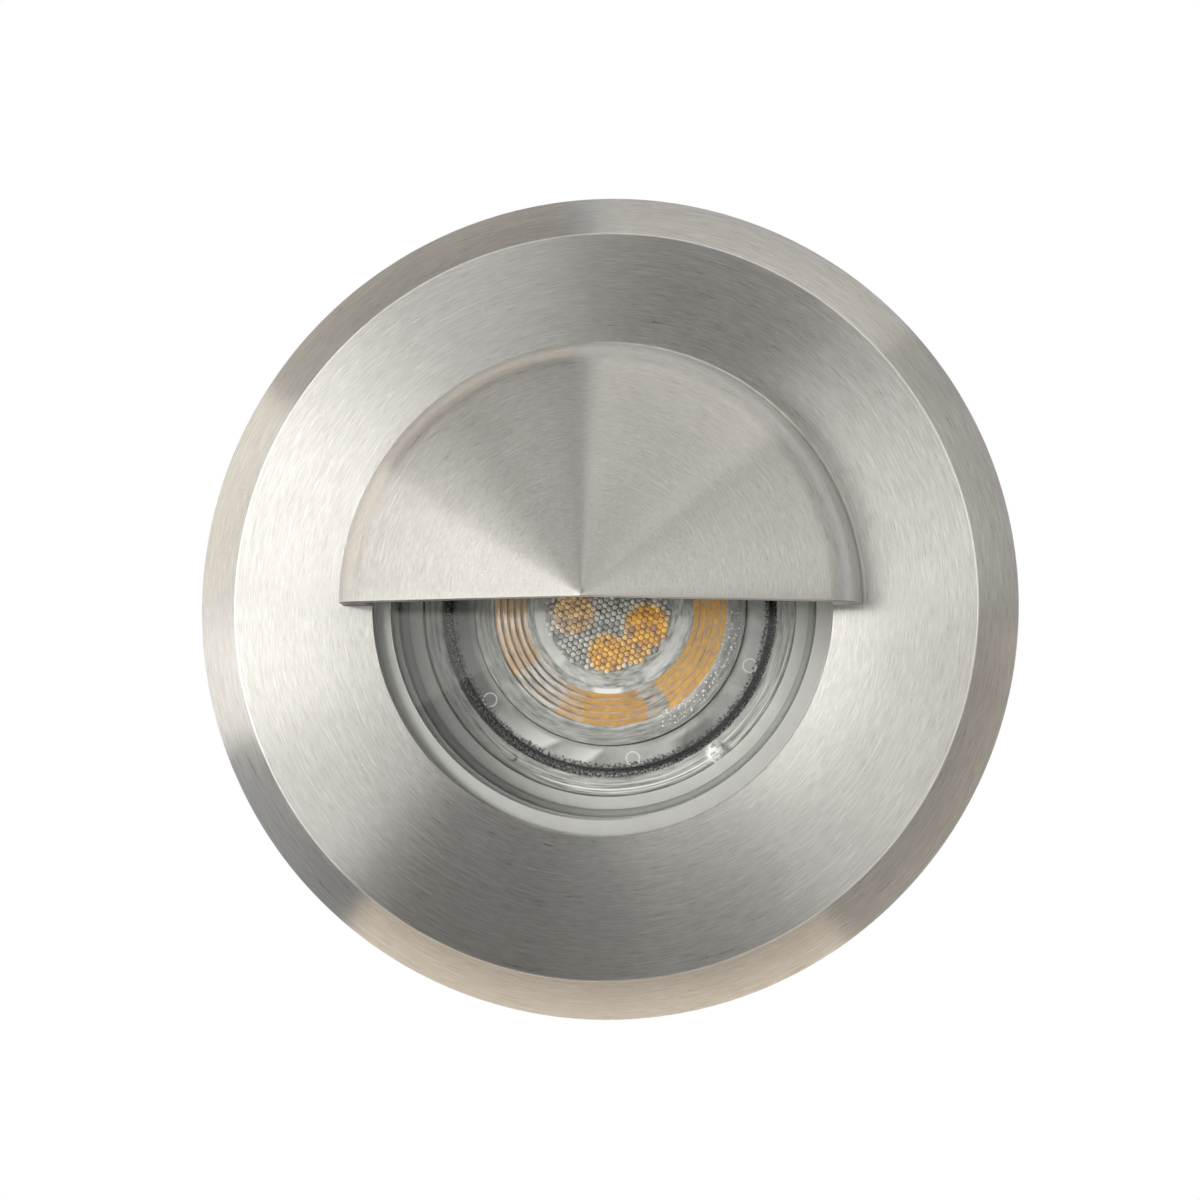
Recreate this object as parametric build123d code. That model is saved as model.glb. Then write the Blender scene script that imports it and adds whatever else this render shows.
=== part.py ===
from build123d import *
import math
import os

# Recessed round step light with a half-dome eyelid, in millimetres.
# The light's axis is Y. The face looks along -Y, the body runs into the wall along +Y, and +Z is up.
# The origin is on the axis, in the plane of the flange's back face, which lies against the wall.

# ---------------------------------------------------------------- clearances
part_gap = 0.1          # between fixed pieces that nest in one another
thread_gap = 0.05       # between a screw's shank and its tapped hole
running_gap = 0.05      # radial, between a pin and the bore that turns on it
soft_gap = 0.15         # between a rubber piece and the groove it lies in

# ---------------------------------------------------------------- fascia with eyelid
flange_cover = 14.0     # flange beyond the hole in the wall, all round
flange_thickness = 4.0
rim_edge = 1.2          # straight edge between the wall and the bevel
bevel_width = 5.3
opening_radius = 30.75
retaining_lip = 1.0     # metal in front of the glass gasket
eyelid_wall = 4.35      # from the opening to the eyelid's foot
eyelid_height = 20.0    # apex over the flat face
eyelid_wall_height = 6.5
eyelid_wall_draft = 0.6
eyelid_toe = 0.5        # small hollow corner where the eyelid meets the face
eyelid_shoulder = 4.7   # from the foot in to the edge of the cone
eyelid_cone_angle = 18.0
eyelid_inner_wall = 6.0
eyelid_inner_angle = 20.0
eyelid_cut_drop = 0.15  # the eyelid's straight edge lies this far below the axis

# ---------------------------------------------------------------- wall gasket
wall_gasket_inset = 2.8     # from the flange's edge
wall_gasket_reach = 2.5     # from the housing's flange out to the gasket
wall_gasket_thickness = 1.0

# ---------------------------------------------------------------- front glass and its gasket
glass_cover = 1.45      # glass beyond the opening, all round
glass_thickness = 4.0
glass_chamfer = 0.4
gasket_lip = 0.8
gasket_side = 0.9
gasket_overhang = 2.15  # gasket's lips inside the opening

# ---------------------------------------------------------------- housing
housing_flange_rim = 3.8    # from the screw centres out to the flange's edge
housing_flange_thickness = 3.4
chamber_relief = 0.3        # chamber's radius over the lamp seat's
barrel_wall = 4.0
carrier_ledge = 3.2         # ledge behind the carrier ring
carrier_ledge_thickness = 2.0
barrel_corner = 1.5

# ---------------------------------------------------------------- screws
fascia_screw_count = 4
fascia_screw_reach = 3.2    # screw centres out from the pocket or the barrel's foot
fascia_screw_radius = 1.5
fascia_screw_bite = 2.5     # length in the fascia
screw_head_ratio = 1.7      # head radius over shank radius
screw_head_height = 1.9
screw_slot_width = 0.8
screw_slot_depth = 0.8
cap_screw_count = 4
cap_screw_inset = 2.15      # screw centres from the barrel's outside
cap_screw_radius = 1.25
cap_screw_bite = 7.0

# ---------------------------------------------------------------- lamp seat
carrier_depth = 2.8         # from the housing's seat back to the carrier ring's front
carrier_height = 5.0
carrier_step = 3.5          # from the ring's front to the step that takes the lamp's rim
carrier_wall = 2.85
carrier_step_width = 1.35
circlip_wire = 0.7
circlip_reach = 1.2         # wire inside the seat's bore
circlip_first_end = 115.0   # degrees, anticlockwise from +X as the face is seen
circlip_last_end = 425.0
circlip_ear_length = 2.6

# ---------------------------------------------------------------- lamp, a 50 mm reflector type on two pins
lamp_rim_radius = 25.0
lamp_rim_thickness = 2.6
lamp_rim_fit = 0.25         # radial, to the carrier ring
cup_rim_step = 1.6
cup_belly_step = 4.8
cup_belly_depth = 13.0
cup_neck_radius = 10.6
cup_neck_depth = 27.0
cup_neck_length = 5.0
cup_wall = 1.6
cup_rim_width = 2.4
cup_mouth_depth = 3.4
cup_lug_inset = 1.2
cup_lug_height = 0.7        # moulded lugs in front of the rim
cup_lugs = ((307.4, 1.3), (237.5, 0.5))     # place in degrees and radius of each
holder_gap = 1.2            # open ring between the cup's mouth and the lens holder
holder_width = 3.0
holder_thickness = 1.4
holder_recess = 1.6         # from the rim's front to the lens holder's front
ejector_mark_radius = 0.8
ejector_mark_depth = 0.25
ejector_mark_count = 6
ejector_mark_start = 41.0
lens_fit = 0.4              # radial, to its holder
lens_edge = 1.8
lens_recess = 1.2           # from the rim's front to the lens's front
lens_border = 2.2
fresnel_step_width = 0.92
fresnel_steps = 5
fresnel_depth = 0.55
lens_clear_ring = 2.6       # smooth ring between the steps and the middle
lens_centre_rise = 0.7
lens_tail_radius = 8.0
lens_tail_depth = 13.0
lens_well_radius = 5.2
lens_well_depth = 2.6
board_radius = 15.0
board_thickness = 1.6
chip_count = 5
chip_size = 2.4
chip_height = 0.6
chip_circle = 3.1
chip_start = 51.0
sink_front_radius = 14.6
sink_back_radius = 8.6
sink_length = 10.0
lamp_length = 44.0          # rim to base
base_width = 18.0
base_depth = 10.0
base_collar_radius = 8.8
base_collar_length = 5.0
pin_radius = 0.75
pin_pitch = 5.33
pin_length = 7.0
pin_root = 4.0

# ---------------------------------------------------------------- lampholder, leads and terminal block
lampholder_size = (20.0, 13.0, 9.0)
lampholder_gap = 0.3
contact_radius = 1.9
contact_setback = 1.4
lead_radius = 1.0
lead_pitch = 8.0
lead_bend = 6.0
lead_entry = 2.0            # length inside the lampholder
lead_tail = 1.8             # lead beyond the clamping screw's centre
wiring_room = 12.4          # from the lampholder's back to the rear cap
block_size = (13.6, 10.0, 8.8)
block_boss_gap = 0.4        # from the gland's boss down to the block
block_passage_depth = 4.6   # from the block's front back to its wire passages
terminal_screw_radius = 1.6
terminal_screw_length = 4.0
terminal_tube_radius = 2.1
terminal_tube_length = 7.0
block_screw_radius = 1.2

# ---------------------------------------------------------------- rear cap
cap_thickness = 4.0
cap_spigot_length = 6.0
cap_spigot_wall = 2.4
cap_boss_radius = 12.0
cap_boss_height = 3.0
cap_seal_wire = 1.1
cap_seal_centre = 3.0       # from the cap's disc forward to the seal

# ---------------------------------------------------------------- cable gland
gland_thread_radius = 8.0
gland_bore_radius = 5.0
gland_hex = 20.0            # across flats
gland_hex_height = 5.0
gland_washer_thickness = 1.0
gland_nose_length = 8.0
seal_radius = 6.6
seal_bore = 4.2
seal_length = 7.0
seal_proud = 1.0            # seal beyond the nose
slip_ring_thickness = 0.8
slip_ring_outer = 7.4
nut_gap = 0.5               # between the nut and the gland's hexagon
nut_end_wall = 1.6
nut_chamfer = 1.6

# ---------------------------------------------------------------- spring clips
clip_pin_rise = 4.0         # hinge pin from the barrel's flat
clip_pin_depth = 20.0       # hinge pin behind the wall face
clip_pin_radius = 1.25
clip_pad_rise = 0.5         # flat on the barrel that takes the bracket
clip_pad_width = 18.0
bracket_start = 14.5
bracket_end = 34.0
bracket_sheet = 1.0
bracket_ear_inner = 6.5
bracket_ear_radius = 2.6
rivet_radius = 1.2
rivet_offset = 4.5
rivet_depth = 30.0
rivet_bite = 2.2
rivet_head_radius = 2.1
rivet_head_height = 0.8
arm_length = 16.0
arm_angle = -40.0           # free position, measured from the radial direction
arm_sheet = 1.2
arm_half_width = 6.0
arm_knuckle_radius = 2.4
arm_knuckle_width = 2.6
arm_tip_radius = 1.5
arm_pad_wall = 0.7
arm_pad_half_length = 5.0
coil_wire = 0.5
coil_turns = 6
coil_mean_radius = 1.95
coil_leg_length = 8.0

# ---------------------------------------------------------------- stations along the axis, worked out
face_y = -flange_thickness
eyelid_base_radius = opening_radius + eyelid_wall
eyelid_cone_width = eyelid_base_radius - eyelid_shoulder
glass_radius = opening_radius + glass_cover
gasket_window = opening_radius - gasket_overhang
lip_back_y = face_y + retaining_lip
glass_front_y = lip_back_y + gasket_lip
glass_back_y = glass_front_y + glass_thickness
seat_y = glass_back_y + gasket_lip
pocket_radius = glass_radius + gasket_side + part_gap
seat_radius = lamp_rim_radius + lamp_rim_fit + carrier_wall + part_gap
chamber_radius = seat_radius + chamber_relief
barrel_radius = chamber_radius + barrel_wall
fascia_screw_circle = max(pocket_radius, barrel_radius + barrel_corner) + fascia_screw_reach
housing_flange_radius = fascia_screw_circle + housing_flange_rim
flange_radius = housing_flange_radius + flange_cover
face_radius = flange_radius - bevel_width
wall_gasket_inner = housing_flange_radius + wall_gasket_reach
wall_gasket_outer = flange_radius - wall_gasket_inset
cap_screw_circle = barrel_radius - cap_screw_inset
carrier_step_radius = lamp_rim_radius + lamp_rim_fit - carrier_step_width
circlip_inner_radius = seat_radius - circlip_reach
cup_shoulder_radius = lamp_rim_radius - cup_rim_step
cup_belly_radius = lamp_rim_radius - cup_belly_step
cup_mouth_radius = lamp_rim_radius - cup_rim_width
holder_outer_radius = cup_mouth_radius - holder_gap
holder_inner_radius = holder_outer_radius - holder_width
lens_radius = holder_inner_radius - lens_fit
fresnel_outer_radius = lens_radius - lens_border
fresnel_inner_radius = fresnel_outer_radius - fresnel_steps * fresnel_step_width
lens_centre_radius = fresnel_inner_radius - lens_clear_ring
clip_pad_face = barrel_radius + clip_pad_rise
clip_pin_reach = clip_pad_face + clip_pin_rise
block_centre_drop = cap_boss_radius + block_boss_gap + block_size[2] / 2
carrier_front_y = seat_y + carrier_depth
carrier_back_y = carrier_front_y + carrier_height
ledge_back_y = carrier_back_y + carrier_ledge_thickness
lamp_back_step_y = carrier_front_y + carrier_step
lamp_front_y = lamp_back_step_y - lamp_rim_thickness
lens_front_y = lamp_front_y + lens_recess
holder_front_y = lamp_front_y + holder_recess
holder_back_y = holder_front_y + holder_thickness
lens_tail_y = lens_front_y + lens_tail_depth
board_front_y = lens_tail_y + part_gap
board_back_y = board_front_y + board_thickness
sink_back_y = board_back_y + sink_length
lamp_back_y = lamp_front_y + lamp_length
cup_end_y = lamp_front_y + cup_neck_depth + cup_neck_length
lampholder_front_y = lamp_back_y + lampholder_gap
lampholder_back_y = lampholder_front_y + lampholder_size[1]
contact_length = lampholder_size[1] - contact_setback - lead_entry
barrel_length = lampholder_back_y + wiring_room
cap_front_y = barrel_length
lead_cross_y = cap_front_y - block_size[1] + block_passage_depth
cap_back_y = cap_front_y + cap_thickness
cap_boss_y = cap_front_y - cap_boss_height
gland_hex_y = cap_back_y + gland_washer_thickness
gland_nose_y = gland_hex_y + gland_hex_height
gland_end_y = gland_nose_y + gland_nose_length
seal_back_y = gland_end_y + seal_proud
seal_front_y = seal_back_y - seal_length
slip_ring_back_y = seal_back_y + slip_ring_thickness


# ---------------------------------------------------------------- helpers
def disc(radius, start, end, x=0.0, z=0.0):
    """A round bar along Y from start to end."""
    place = Pos(x, (start + end) / 2, z) * Rot(90, 0, 0)
    return place * Cylinder(radius, end - start)


def ring(outer, inner, start, end, x=0.0, z=0.0):
    """A plain tube along Y."""
    return disc(outer, start, end, x, z) - disc(inner, start, end, x, z)


def block(x_range, y_range, z_range):
    """A box given by its corner values."""
    size = [high - low for low, high in (x_range, y_range, z_range)]
    middle = [(high + low) / 2 for low, high in (x_range, y_range, z_range)]
    return Pos(*middle) * Box(*size)


def turned(outline):
    """A solid of revolution about Y, from a closed outline of edges or of (radius, y) points."""
    if isinstance(outline[0], tuple):
        outline = [Polyline(*outline, close=True)]
    return revolve(make_face(outline), Axis.Y, 360)


def around(count, start, radius):
    """Points (x, z) evenly spaced on a circle about the axis."""
    for index in range(count):
        angle = math.radians(start + index * 360 / count)
        yield radius * math.cos(angle), radius * math.sin(angle)


def hexagon(across_flats, start, end):
    """A hexagonal bar along Y."""
    side = RegularPolygon(across_flats / 2, 6, major_radius=False)
    plane = Plane(origin=(0, start, 0), x_dir=(1, 0, 0), z_dir=(0, 1, 0))
    return extrude(plane * side, end - start)


def slotted_screw(radius, bite, x, z, seat, forward=True):
    """A cheese-head screw whose head bears on seat and whose shank points to -Y, or +Y if not forward."""
    way = -1 if forward else 1
    head_end = seat - way * screw_head_height
    head_radius = radius * screw_head_ratio
    shank_radius = radius - thread_gap
    head = disc(head_radius, min(seat, head_end), max(seat, head_end), x, z)
    tip = seat + way * bite
    shank = disc(shank_radius, min(seat, tip), max(seat, tip), x, z)
    slot_floor = head_end + way * screw_slot_depth
    slot = block(
        (x - head_radius, x + head_radius),
        (min(head_end, slot_floor), max(head_end, slot_floor)),
        (z - screw_slot_width / 2, z + screw_slot_width / 2),
    )
    return head + shank - slot


# ---------------------------------------------------------------- fascia
def eyelid_fascia():
    """The turned face: flange, bevel and eyelid in one piece, with the lower half of the dome cut away."""
    apex = (0, face_y - eyelid_height)
    cone_drop = eyelid_cone_width * math.tan(math.radians(eyelid_cone_angle))
    cone_edge = (eyelid_cone_width, apex[1] + cone_drop)
    wall_top = (eyelid_base_radius - eyelid_toe - eyelid_wall_draft, face_y - eyelid_wall_height)
    wall_foot = (eyelid_base_radius - eyelid_toe, face_y - eyelid_toe)
    toe = (eyelid_base_radius, face_y)
    inner_wall_top = (opening_radius, face_y - eyelid_inner_wall)
    inner_drop = opening_radius * math.tan(math.radians(eyelid_inner_angle))
    inner_apex = (0, inner_wall_top[1] - inner_drop)
    cone_way = (cone_edge[0] - apex[0], cone_edge[1] - apex[1])
    dome = [
        Line(apex, cone_edge),
        TangentArc(cone_edge, wall_top, tangent=cone_way),
        Line(wall_top, wall_foot),
        RadiusArc(wall_foot, toe, eyelid_toe),
    ]
    groove_inner = wall_gasket_inner - soft_gap
    groove_outer = wall_gasket_outer + soft_gap
    rest = Polyline(
        toe,
        (face_radius, face_y),
        (flange_radius, -rim_edge),
        (flange_radius, 0),
        (groove_outer, 0),
        (groove_outer, -wall_gasket_thickness),
        (groove_inner, -wall_gasket_thickness),
        (groove_inner, 0),
        (pocket_radius, 0),
        (pocket_radius, lip_back_y),
        (opening_radius, lip_back_y),
        inner_wall_top,
        inner_apex,
        apex,
    )
    body = turned([*dome, rest])
    cut_away = block(
        (-flange_radius, flange_radius),
        (apex[1] - eyelid_toe, face_y),
        (-flange_radius, -eyelid_cut_drop),
    )
    body -= cut_away
    for x, z in around(fascia_screw_count, 45, fascia_screw_circle):
        body -= disc(fascia_screw_radius, -fascia_screw_bite - part_gap, 0, x, z)
    return body


def wall_gasket():
    """A flat rubber ring in the flange's back, flush with the face that meets the wall."""
    return ring(wall_gasket_outer, wall_gasket_inner, -wall_gasket_thickness, 0)


# ---------------------------------------------------------------- glass
def front_glass():
    """A flat toughened disc with both edges ground."""
    return turned([
        (0, glass_front_y),
        (glass_radius - glass_chamfer, glass_front_y),
        (glass_radius, glass_front_y + glass_chamfer),
        (glass_radius, glass_back_y - glass_chamfer),
        (glass_radius - glass_chamfer, glass_back_y),
        (0, glass_back_y),
    ])


def glass_gasket():
    """A channel-shaped ring that wraps the glass's edge."""
    outer = glass_radius + gasket_side
    inner = glass_radius + part_gap / 2
    return turned([
        (gasket_window, lip_back_y),
        (outer, lip_back_y),
        (outer, seat_y),
        (gasket_window, seat_y),
        (gasket_window, glass_back_y),
        (inner, glass_back_y),
        (inner, glass_front_y),
        (gasket_window, glass_front_y),
    ])


# ---------------------------------------------------------------- housing
def housing_barrel():
    """The body behind the face: flange, glass pocket, circlip groove, lamp ledge, chamber and clip flats."""
    groove_front_y = carrier_front_y - 2 * circlip_wire - part_gap
    groove_radius = circlip_inner_radius + 2 * circlip_wire + part_gap
    body = turned([
        (pocket_radius, 0),
        (housing_flange_radius, 0),
        (housing_flange_radius, housing_flange_thickness),
        (barrel_radius + barrel_corner, housing_flange_thickness),
        (barrel_radius, housing_flange_thickness + barrel_corner),
        (barrel_radius, barrel_length),
        (chamber_radius, barrel_length),
        (chamber_radius, ledge_back_y),
        (seat_radius - carrier_ledge, ledge_back_y),
        (seat_radius - carrier_ledge, carrier_back_y),
        (seat_radius, carrier_back_y),
        (seat_radius, carrier_front_y),
        (groove_radius, carrier_front_y),
        (groove_radius, groove_front_y),
        (seat_radius, groove_front_y),
        (seat_radius, seat_y),
        (pocket_radius, seat_y),
    ])
    for side in (-1, 1):
        near = (chamber_radius + barrel_radius) / 2
        x_range = sorted((side * near, side * clip_pad_face))
        z_range = (-clip_pad_width / 2, clip_pad_width / 2)
        body += block(x_range, (bracket_start, bracket_end), z_range)
        for z in (-rivet_offset, rivet_offset):
            body -= cross_bar(rivet_radius, side, clip_pad_face - rivet_bite, clip_pad_face, rivet_depth, z)
    for x, z in around(fascia_screw_count, 45, fascia_screw_circle):
        body -= disc(fascia_screw_radius + part_gap, 0, housing_flange_thickness, x, z)
    for x, z in around(cap_screw_count, 45, cap_screw_circle):
        body -= disc(cap_screw_radius, barrel_length - cap_screw_bite - part_gap, barrel_length, x, z)
    return body


def fascia_screws():
    """Screws that come from behind and draw the fascia onto the housing."""
    bite = housing_flange_thickness + fascia_screw_bite
    places = around(fascia_screw_count, 45, fascia_screw_circle)
    return [slotted_screw(fascia_screw_radius, bite, x, z, housing_flange_thickness) for x, z in places]


# ---------------------------------------------------------------- lamp seat
def lamp_carrier_ring():
    """The stepped ring that the lamp's rim drops into."""
    outer = seat_radius - part_gap
    rim_bore = lamp_rim_radius + lamp_rim_fit
    return turned([
        (rim_bore, carrier_front_y),
        (outer, carrier_front_y),
        (outer, carrier_back_y),
        (carrier_step_radius, carrier_back_y),
        (carrier_step_radius, lamp_back_step_y),
        (rim_bore, lamp_back_step_y),
    ])


def lamp_circlip():
    """An open wire ring sprung into its groove, with both ends bent inwards over the lamp's rim."""
    centre_y = carrier_front_y - circlip_wire - part_gap / 2
    ring_radius = circlip_inner_radius + circlip_wire
    sweep_angle = circlip_last_end - circlip_first_end
    section = Plane.XY * Pos(ring_radius, centre_y) * Circle(circlip_wire)
    wire = Rot(0, -circlip_first_end, 0) * revolve(section, Axis.Y, -sweep_angle)
    for angle in (circlip_first_end, circlip_last_end):
        ear = Pos(ring_radius - circlip_ear_length / 2, centre_y, 0) * Rot(0, 90, 0)
        ear = ear * Cylinder(circlip_wire, circlip_ear_length)
        ear += Pos(ring_radius, centre_y, 0) * Sphere(circlip_wire)
        wire += Rot(0, -angle, 0) * ear
    return wire


# ---------------------------------------------------------------- lamp
def lamp_glass_cup():
    """The pressed glass body: a thick rim with moulded lugs, a hollow bowl and a short neck."""
    front = lamp_front_y
    rim_back = lamp_back_step_y
    neck_y = front + cup_neck_depth
    outside = [
        Polyline((cup_mouth_radius, front), (lamp_rim_radius, front), (lamp_rim_radius, rim_back),
                 (cup_shoulder_radius, rim_back)),
        ThreePointArc((cup_shoulder_radius, rim_back), (cup_belly_radius, front + cup_belly_depth),
                      (cup_neck_radius, neck_y)),
        Polyline((cup_neck_radius, neck_y), (cup_neck_radius, cup_end_y),
                 (cup_neck_radius - cup_wall, cup_end_y), (cup_neck_radius - cup_wall, neck_y)),
    ]
    mouth_y = front + cup_mouth_depth
    inside = [
        ThreePointArc((cup_neck_radius - cup_wall, neck_y),
                      (cup_belly_radius - cup_wall, front + cup_belly_depth),
                      (cup_shoulder_radius - cup_wall, mouth_y)),
        Polyline((cup_shoulder_radius - cup_wall, mouth_y), (cup_mouth_radius, mouth_y),
                 (cup_mouth_radius, front)),
    ]
    cup = turned(outside + inside)
    lug_circle = lamp_rim_radius - cup_lug_inset
    for angle, radius in cup_lugs:
        turn = math.radians(angle)
        x = lug_circle * math.cos(turn)
        z = lug_circle * math.sin(turn)
        lug = disc(radius, front - cup_lug_height, front + cup_lug_height, x, z)
        lug = chamfer(lug.edges().group_by(Axis.Y)[0], cup_lug_height / 3)
        cup += lug
    return cup


def lamp_lens_holder():
    """The flat ring round the lens, with round moulding marks on its face."""
    holder = ring(holder_outer_radius, holder_inner_radius, holder_front_y, holder_back_y)
    middle = (holder_outer_radius + holder_inner_radius) / 2
    for x, z in around(ejector_mark_count, ejector_mark_start, middle):
        mark = ring(ejector_mark_radius, ejector_mark_radius / 2, holder_front_y,
                    holder_front_y + ejector_mark_depth, x, z)
        holder -= mark
    return holder


def lamp_lens():
    """The moulded optic: stepped rings round a shallow middle, and a tapered tail over the light sources."""
    front = lens_front_y
    outline = [(lens_radius, front), (fresnel_outer_radius, front)]
    for step in range(fresnel_steps):
        outer = fresnel_outer_radius - step * fresnel_step_width
        outline.append((outer, front + fresnel_depth))
        outline.append((outer - fresnel_step_width, front))
    crown_edge = (lens_centre_radius, front + fresnel_depth)
    crown_top = (0, crown_edge[1] - lens_centre_rise)
    back = [
        (0, lens_tail_y - lens_well_depth),
        (lens_well_radius, lens_tail_y - lens_well_depth),
        (lens_well_radius, lens_tail_y),
        (lens_tail_radius, lens_tail_y),
        (lens_radius - lens_edge, front + 2 * lens_edge),
        (lens_radius, front + lens_edge),
        (lens_radius, front),
    ]
    crown = TangentArc(crown_top, crown_edge, tangent=(1, 0))
    return turned([Polyline(*outline, crown_edge), crown, Polyline(crown_top, *back)])


def lamp_led_board():
    """The round board that carries the light sources."""
    return disc(board_radius, board_front_y, board_back_y)


def lamp_led_chips():
    """Square phosphor-covered chips in a circle."""
    chips = []
    for x, z in around(chip_count, chip_start, chip_circle):
        turn = math.degrees(math.atan2(z, x))
        chip = Box(chip_size, chip_height, chip_size)
        chips.append(Pos(x, board_front_y - chip_height / 2, z) * Rot(0, -turn, 0) * chip)
    return chips


def lamp_heat_sink():
    """The tapered metal slug behind the board, which fills the bowl down to the neck."""
    return turned([
        (0, board_back_y),
        (sink_front_radius, board_back_y),
        (sink_back_radius, sink_back_y),
        (0, sink_back_y),
    ])


def lamp_base():
    """The two-pin base: a collar in the glass neck and a flat-sided body."""
    collar = disc(base_collar_radius, cup_end_y - base_collar_length, cup_end_y + part_gap)
    body = block((-base_width / 2, base_width / 2), (cup_end_y, lamp_back_y), (-base_depth / 2, base_depth / 2))
    body = fillet(body.edges().filter_by(Axis.Y), base_depth / 4)
    base = collar + body
    for x in (-pin_pitch / 2, pin_pitch / 2):
        base -= disc(pin_radius + thread_gap, lamp_back_y - pin_root, lamp_back_y, x)
    return base


def lamp_pins():
    """The lamp's two contact pins."""
    end = lamp_back_y + pin_length
    return [disc(pin_radius, lamp_back_y - pin_root, end, x) for x in (-pin_pitch / 2, pin_pitch / 2)]


# ---------------------------------------------------------------- lampholder and wiring
def lampholder():
    """The ceramic socket pushed onto the lamp's pins, with a chamber for each contact and lead."""
    width, _, height = lampholder_size
    body = block((-width / 2, width / 2), (lampholder_front_y, lampholder_back_y), (-height / 2, height / 2))
    body = fillet(body.edges().filter_by(Axis.Y), height / 4)
    contact_start = lampholder_front_y + contact_setback
    for side in (-1, 1):
        x = side * pin_pitch / 2
        body -= disc(pin_radius + 2 * part_gap, lampholder_front_y, contact_start, x)
        body -= disc(contact_radius + part_gap / 2, contact_start, contact_start + contact_length, x)
        lead_start = lampholder_back_y - lead_entry
        body -= disc(lead_radius + part_gap, lead_start, lampholder_back_y, side * lead_pitch / 2)
    return body


def lampholder_contacts():
    """The two spring sleeves that grip the pins."""
    start = lampholder_front_y + contact_setback
    bore = pin_radius + thread_gap
    return [ring(contact_radius, bore, start, start + contact_length, x)
            for x in (-pin_pitch / 2, pin_pitch / 2)]


def lamp_lead(side):
    """One insulated lead, from the lampholder's back round a bend down into the terminal block."""
    x = side * lead_pitch / 2
    start = (x, lampholder_back_y - lead_entry, 0)
    corner = (x, lead_cross_y, 0)
    end = (x, lead_cross_y, -block_centre_drop - lead_tail)
    path = FilletPolyline(start, corner, end, radius=lead_bend)
    section = Plane(origin=start, z_dir=(0, 1, 0)) * Circle(lead_radius)
    return sweep(section, path=path)


def terminal_block():
    """A two-way insulating block on the rear cap, with a passage and a screw shaft for each way."""
    width, depth, height = block_size
    low = -block_centre_drop - height / 2
    high = -block_centre_drop + height / 2
    front = cap_front_y - depth
    body = block((-width / 2, width / 2), (front, cap_front_y), (low, high))
    for side in (-1, 1):
        x = side * lead_pitch / 2
        passage = Pos(x, lead_cross_y, -block_centre_drop) * Cylinder(terminal_tube_radius + part_gap / 2, height)
        body -= passage
        body -= disc(terminal_screw_radius + part_gap, front, lead_cross_y, x, -block_centre_drop)
    body -= disc(block_screw_radius + thread_gap, front, cap_front_y, 0, -block_centre_drop)
    return body


def terminal_tubes():
    """The brass tubes inside the block that take the wires."""
    tubes = []
    bore = lead_radius + part_gap
    for side in (-1, 1):
        place = Pos(side * lead_pitch / 2, lead_cross_y, -block_centre_drop)
        tube = Cylinder(terminal_tube_radius, terminal_tube_length) - Cylinder(bore, terminal_tube_length)
        tube = place * tube
        hole = disc(terminal_screw_radius, lead_cross_y - terminal_tube_radius - part_gap, lead_cross_y,
                    side * lead_pitch / 2, -block_centre_drop)
        tubes.append(tube - hole)
    return tubes


def terminal_screws():
    """The screws that clamp the wires in the tubes."""
    screws = []
    tip = lead_cross_y - lead_radius - thread_gap
    for side in (-1, 1):
        x = side * lead_pitch / 2
        screw = disc(terminal_screw_radius - thread_gap, tip - terminal_screw_length, tip, x, -block_centre_drop)
        slot = block(
            (x - terminal_screw_radius, x + terminal_screw_radius),
            (tip - terminal_screw_length, tip - terminal_screw_length + screw_slot_depth),
            (-block_centre_drop - screw_slot_width / 2, -block_centre_drop + screw_slot_width / 2),
        )
        screws.append(screw - slot)
    return screws


def block_screw():
    """The screw that holds the terminal block to the rear cap."""
    front = cap_front_y - block_size[1]
    return slotted_screw(block_screw_radius, block_size[1] + cap_thickness / 2, 0, -block_centre_drop, front,
                         forward=False)


# ---------------------------------------------------------------- rear cap
def rear_cap():
    """The cover at the back: a disc, a spigot with a seal groove, and a boss tapped for the gland."""
    spigot = chamber_radius - part_gap
    groove_floor = spigot - 2 * cap_seal_wire
    groove_half = cap_seal_wire + part_gap
    groove_y = cap_front_y - cap_seal_centre
    inside = spigot - cap_spigot_wall
    cap = turned([
        (gland_thread_radius + thread_gap, cap_boss_y),
        (cap_boss_radius, cap_boss_y),
        (cap_boss_radius, cap_front_y),
        (inside - cap_seal_wire, cap_front_y),
        (inside - cap_seal_wire, cap_front_y - cap_spigot_length),
        (spigot, cap_front_y - cap_spigot_length),
        (spigot, groove_y - groove_half),
        (groove_floor, groove_y - groove_half),
        (groove_floor, groove_y + groove_half),
        (spigot, groove_y + groove_half),
        (spigot, cap_front_y),
        (barrel_radius, cap_front_y),
        (barrel_radius, cap_back_y),
        (gland_thread_radius + thread_gap, cap_back_y),
    ])
    for x, z in around(cap_screw_count, 45, cap_screw_circle):
        cap -= disc(cap_screw_radius + part_gap, cap_front_y, cap_back_y, x, z)
    cap -= disc(block_screw_radius, cap_front_y, cap_front_y + cap_thickness / 2 + part_gap, 0,
                -block_centre_drop)
    return cap


def rear_cap_seal():
    """The round-section ring in the cap's spigot, squeezed to the bore of the barrel."""
    centre = (chamber_radius - part_gap / 2 - cap_seal_wire, cap_front_y - cap_seal_centre)
    return revolve(Plane.XY * Pos(*centre) * Circle(cap_seal_wire), Axis.Y, 360)


def rear_cap_screws():
    """Screws through the cap's edge into the barrel's wall."""
    bite = cap_thickness + cap_screw_bite
    places = around(cap_screw_count, 45, cap_screw_circle)
    return [slotted_screw(cap_screw_radius, bite, x, z, cap_back_y) for x, z in places]


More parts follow.
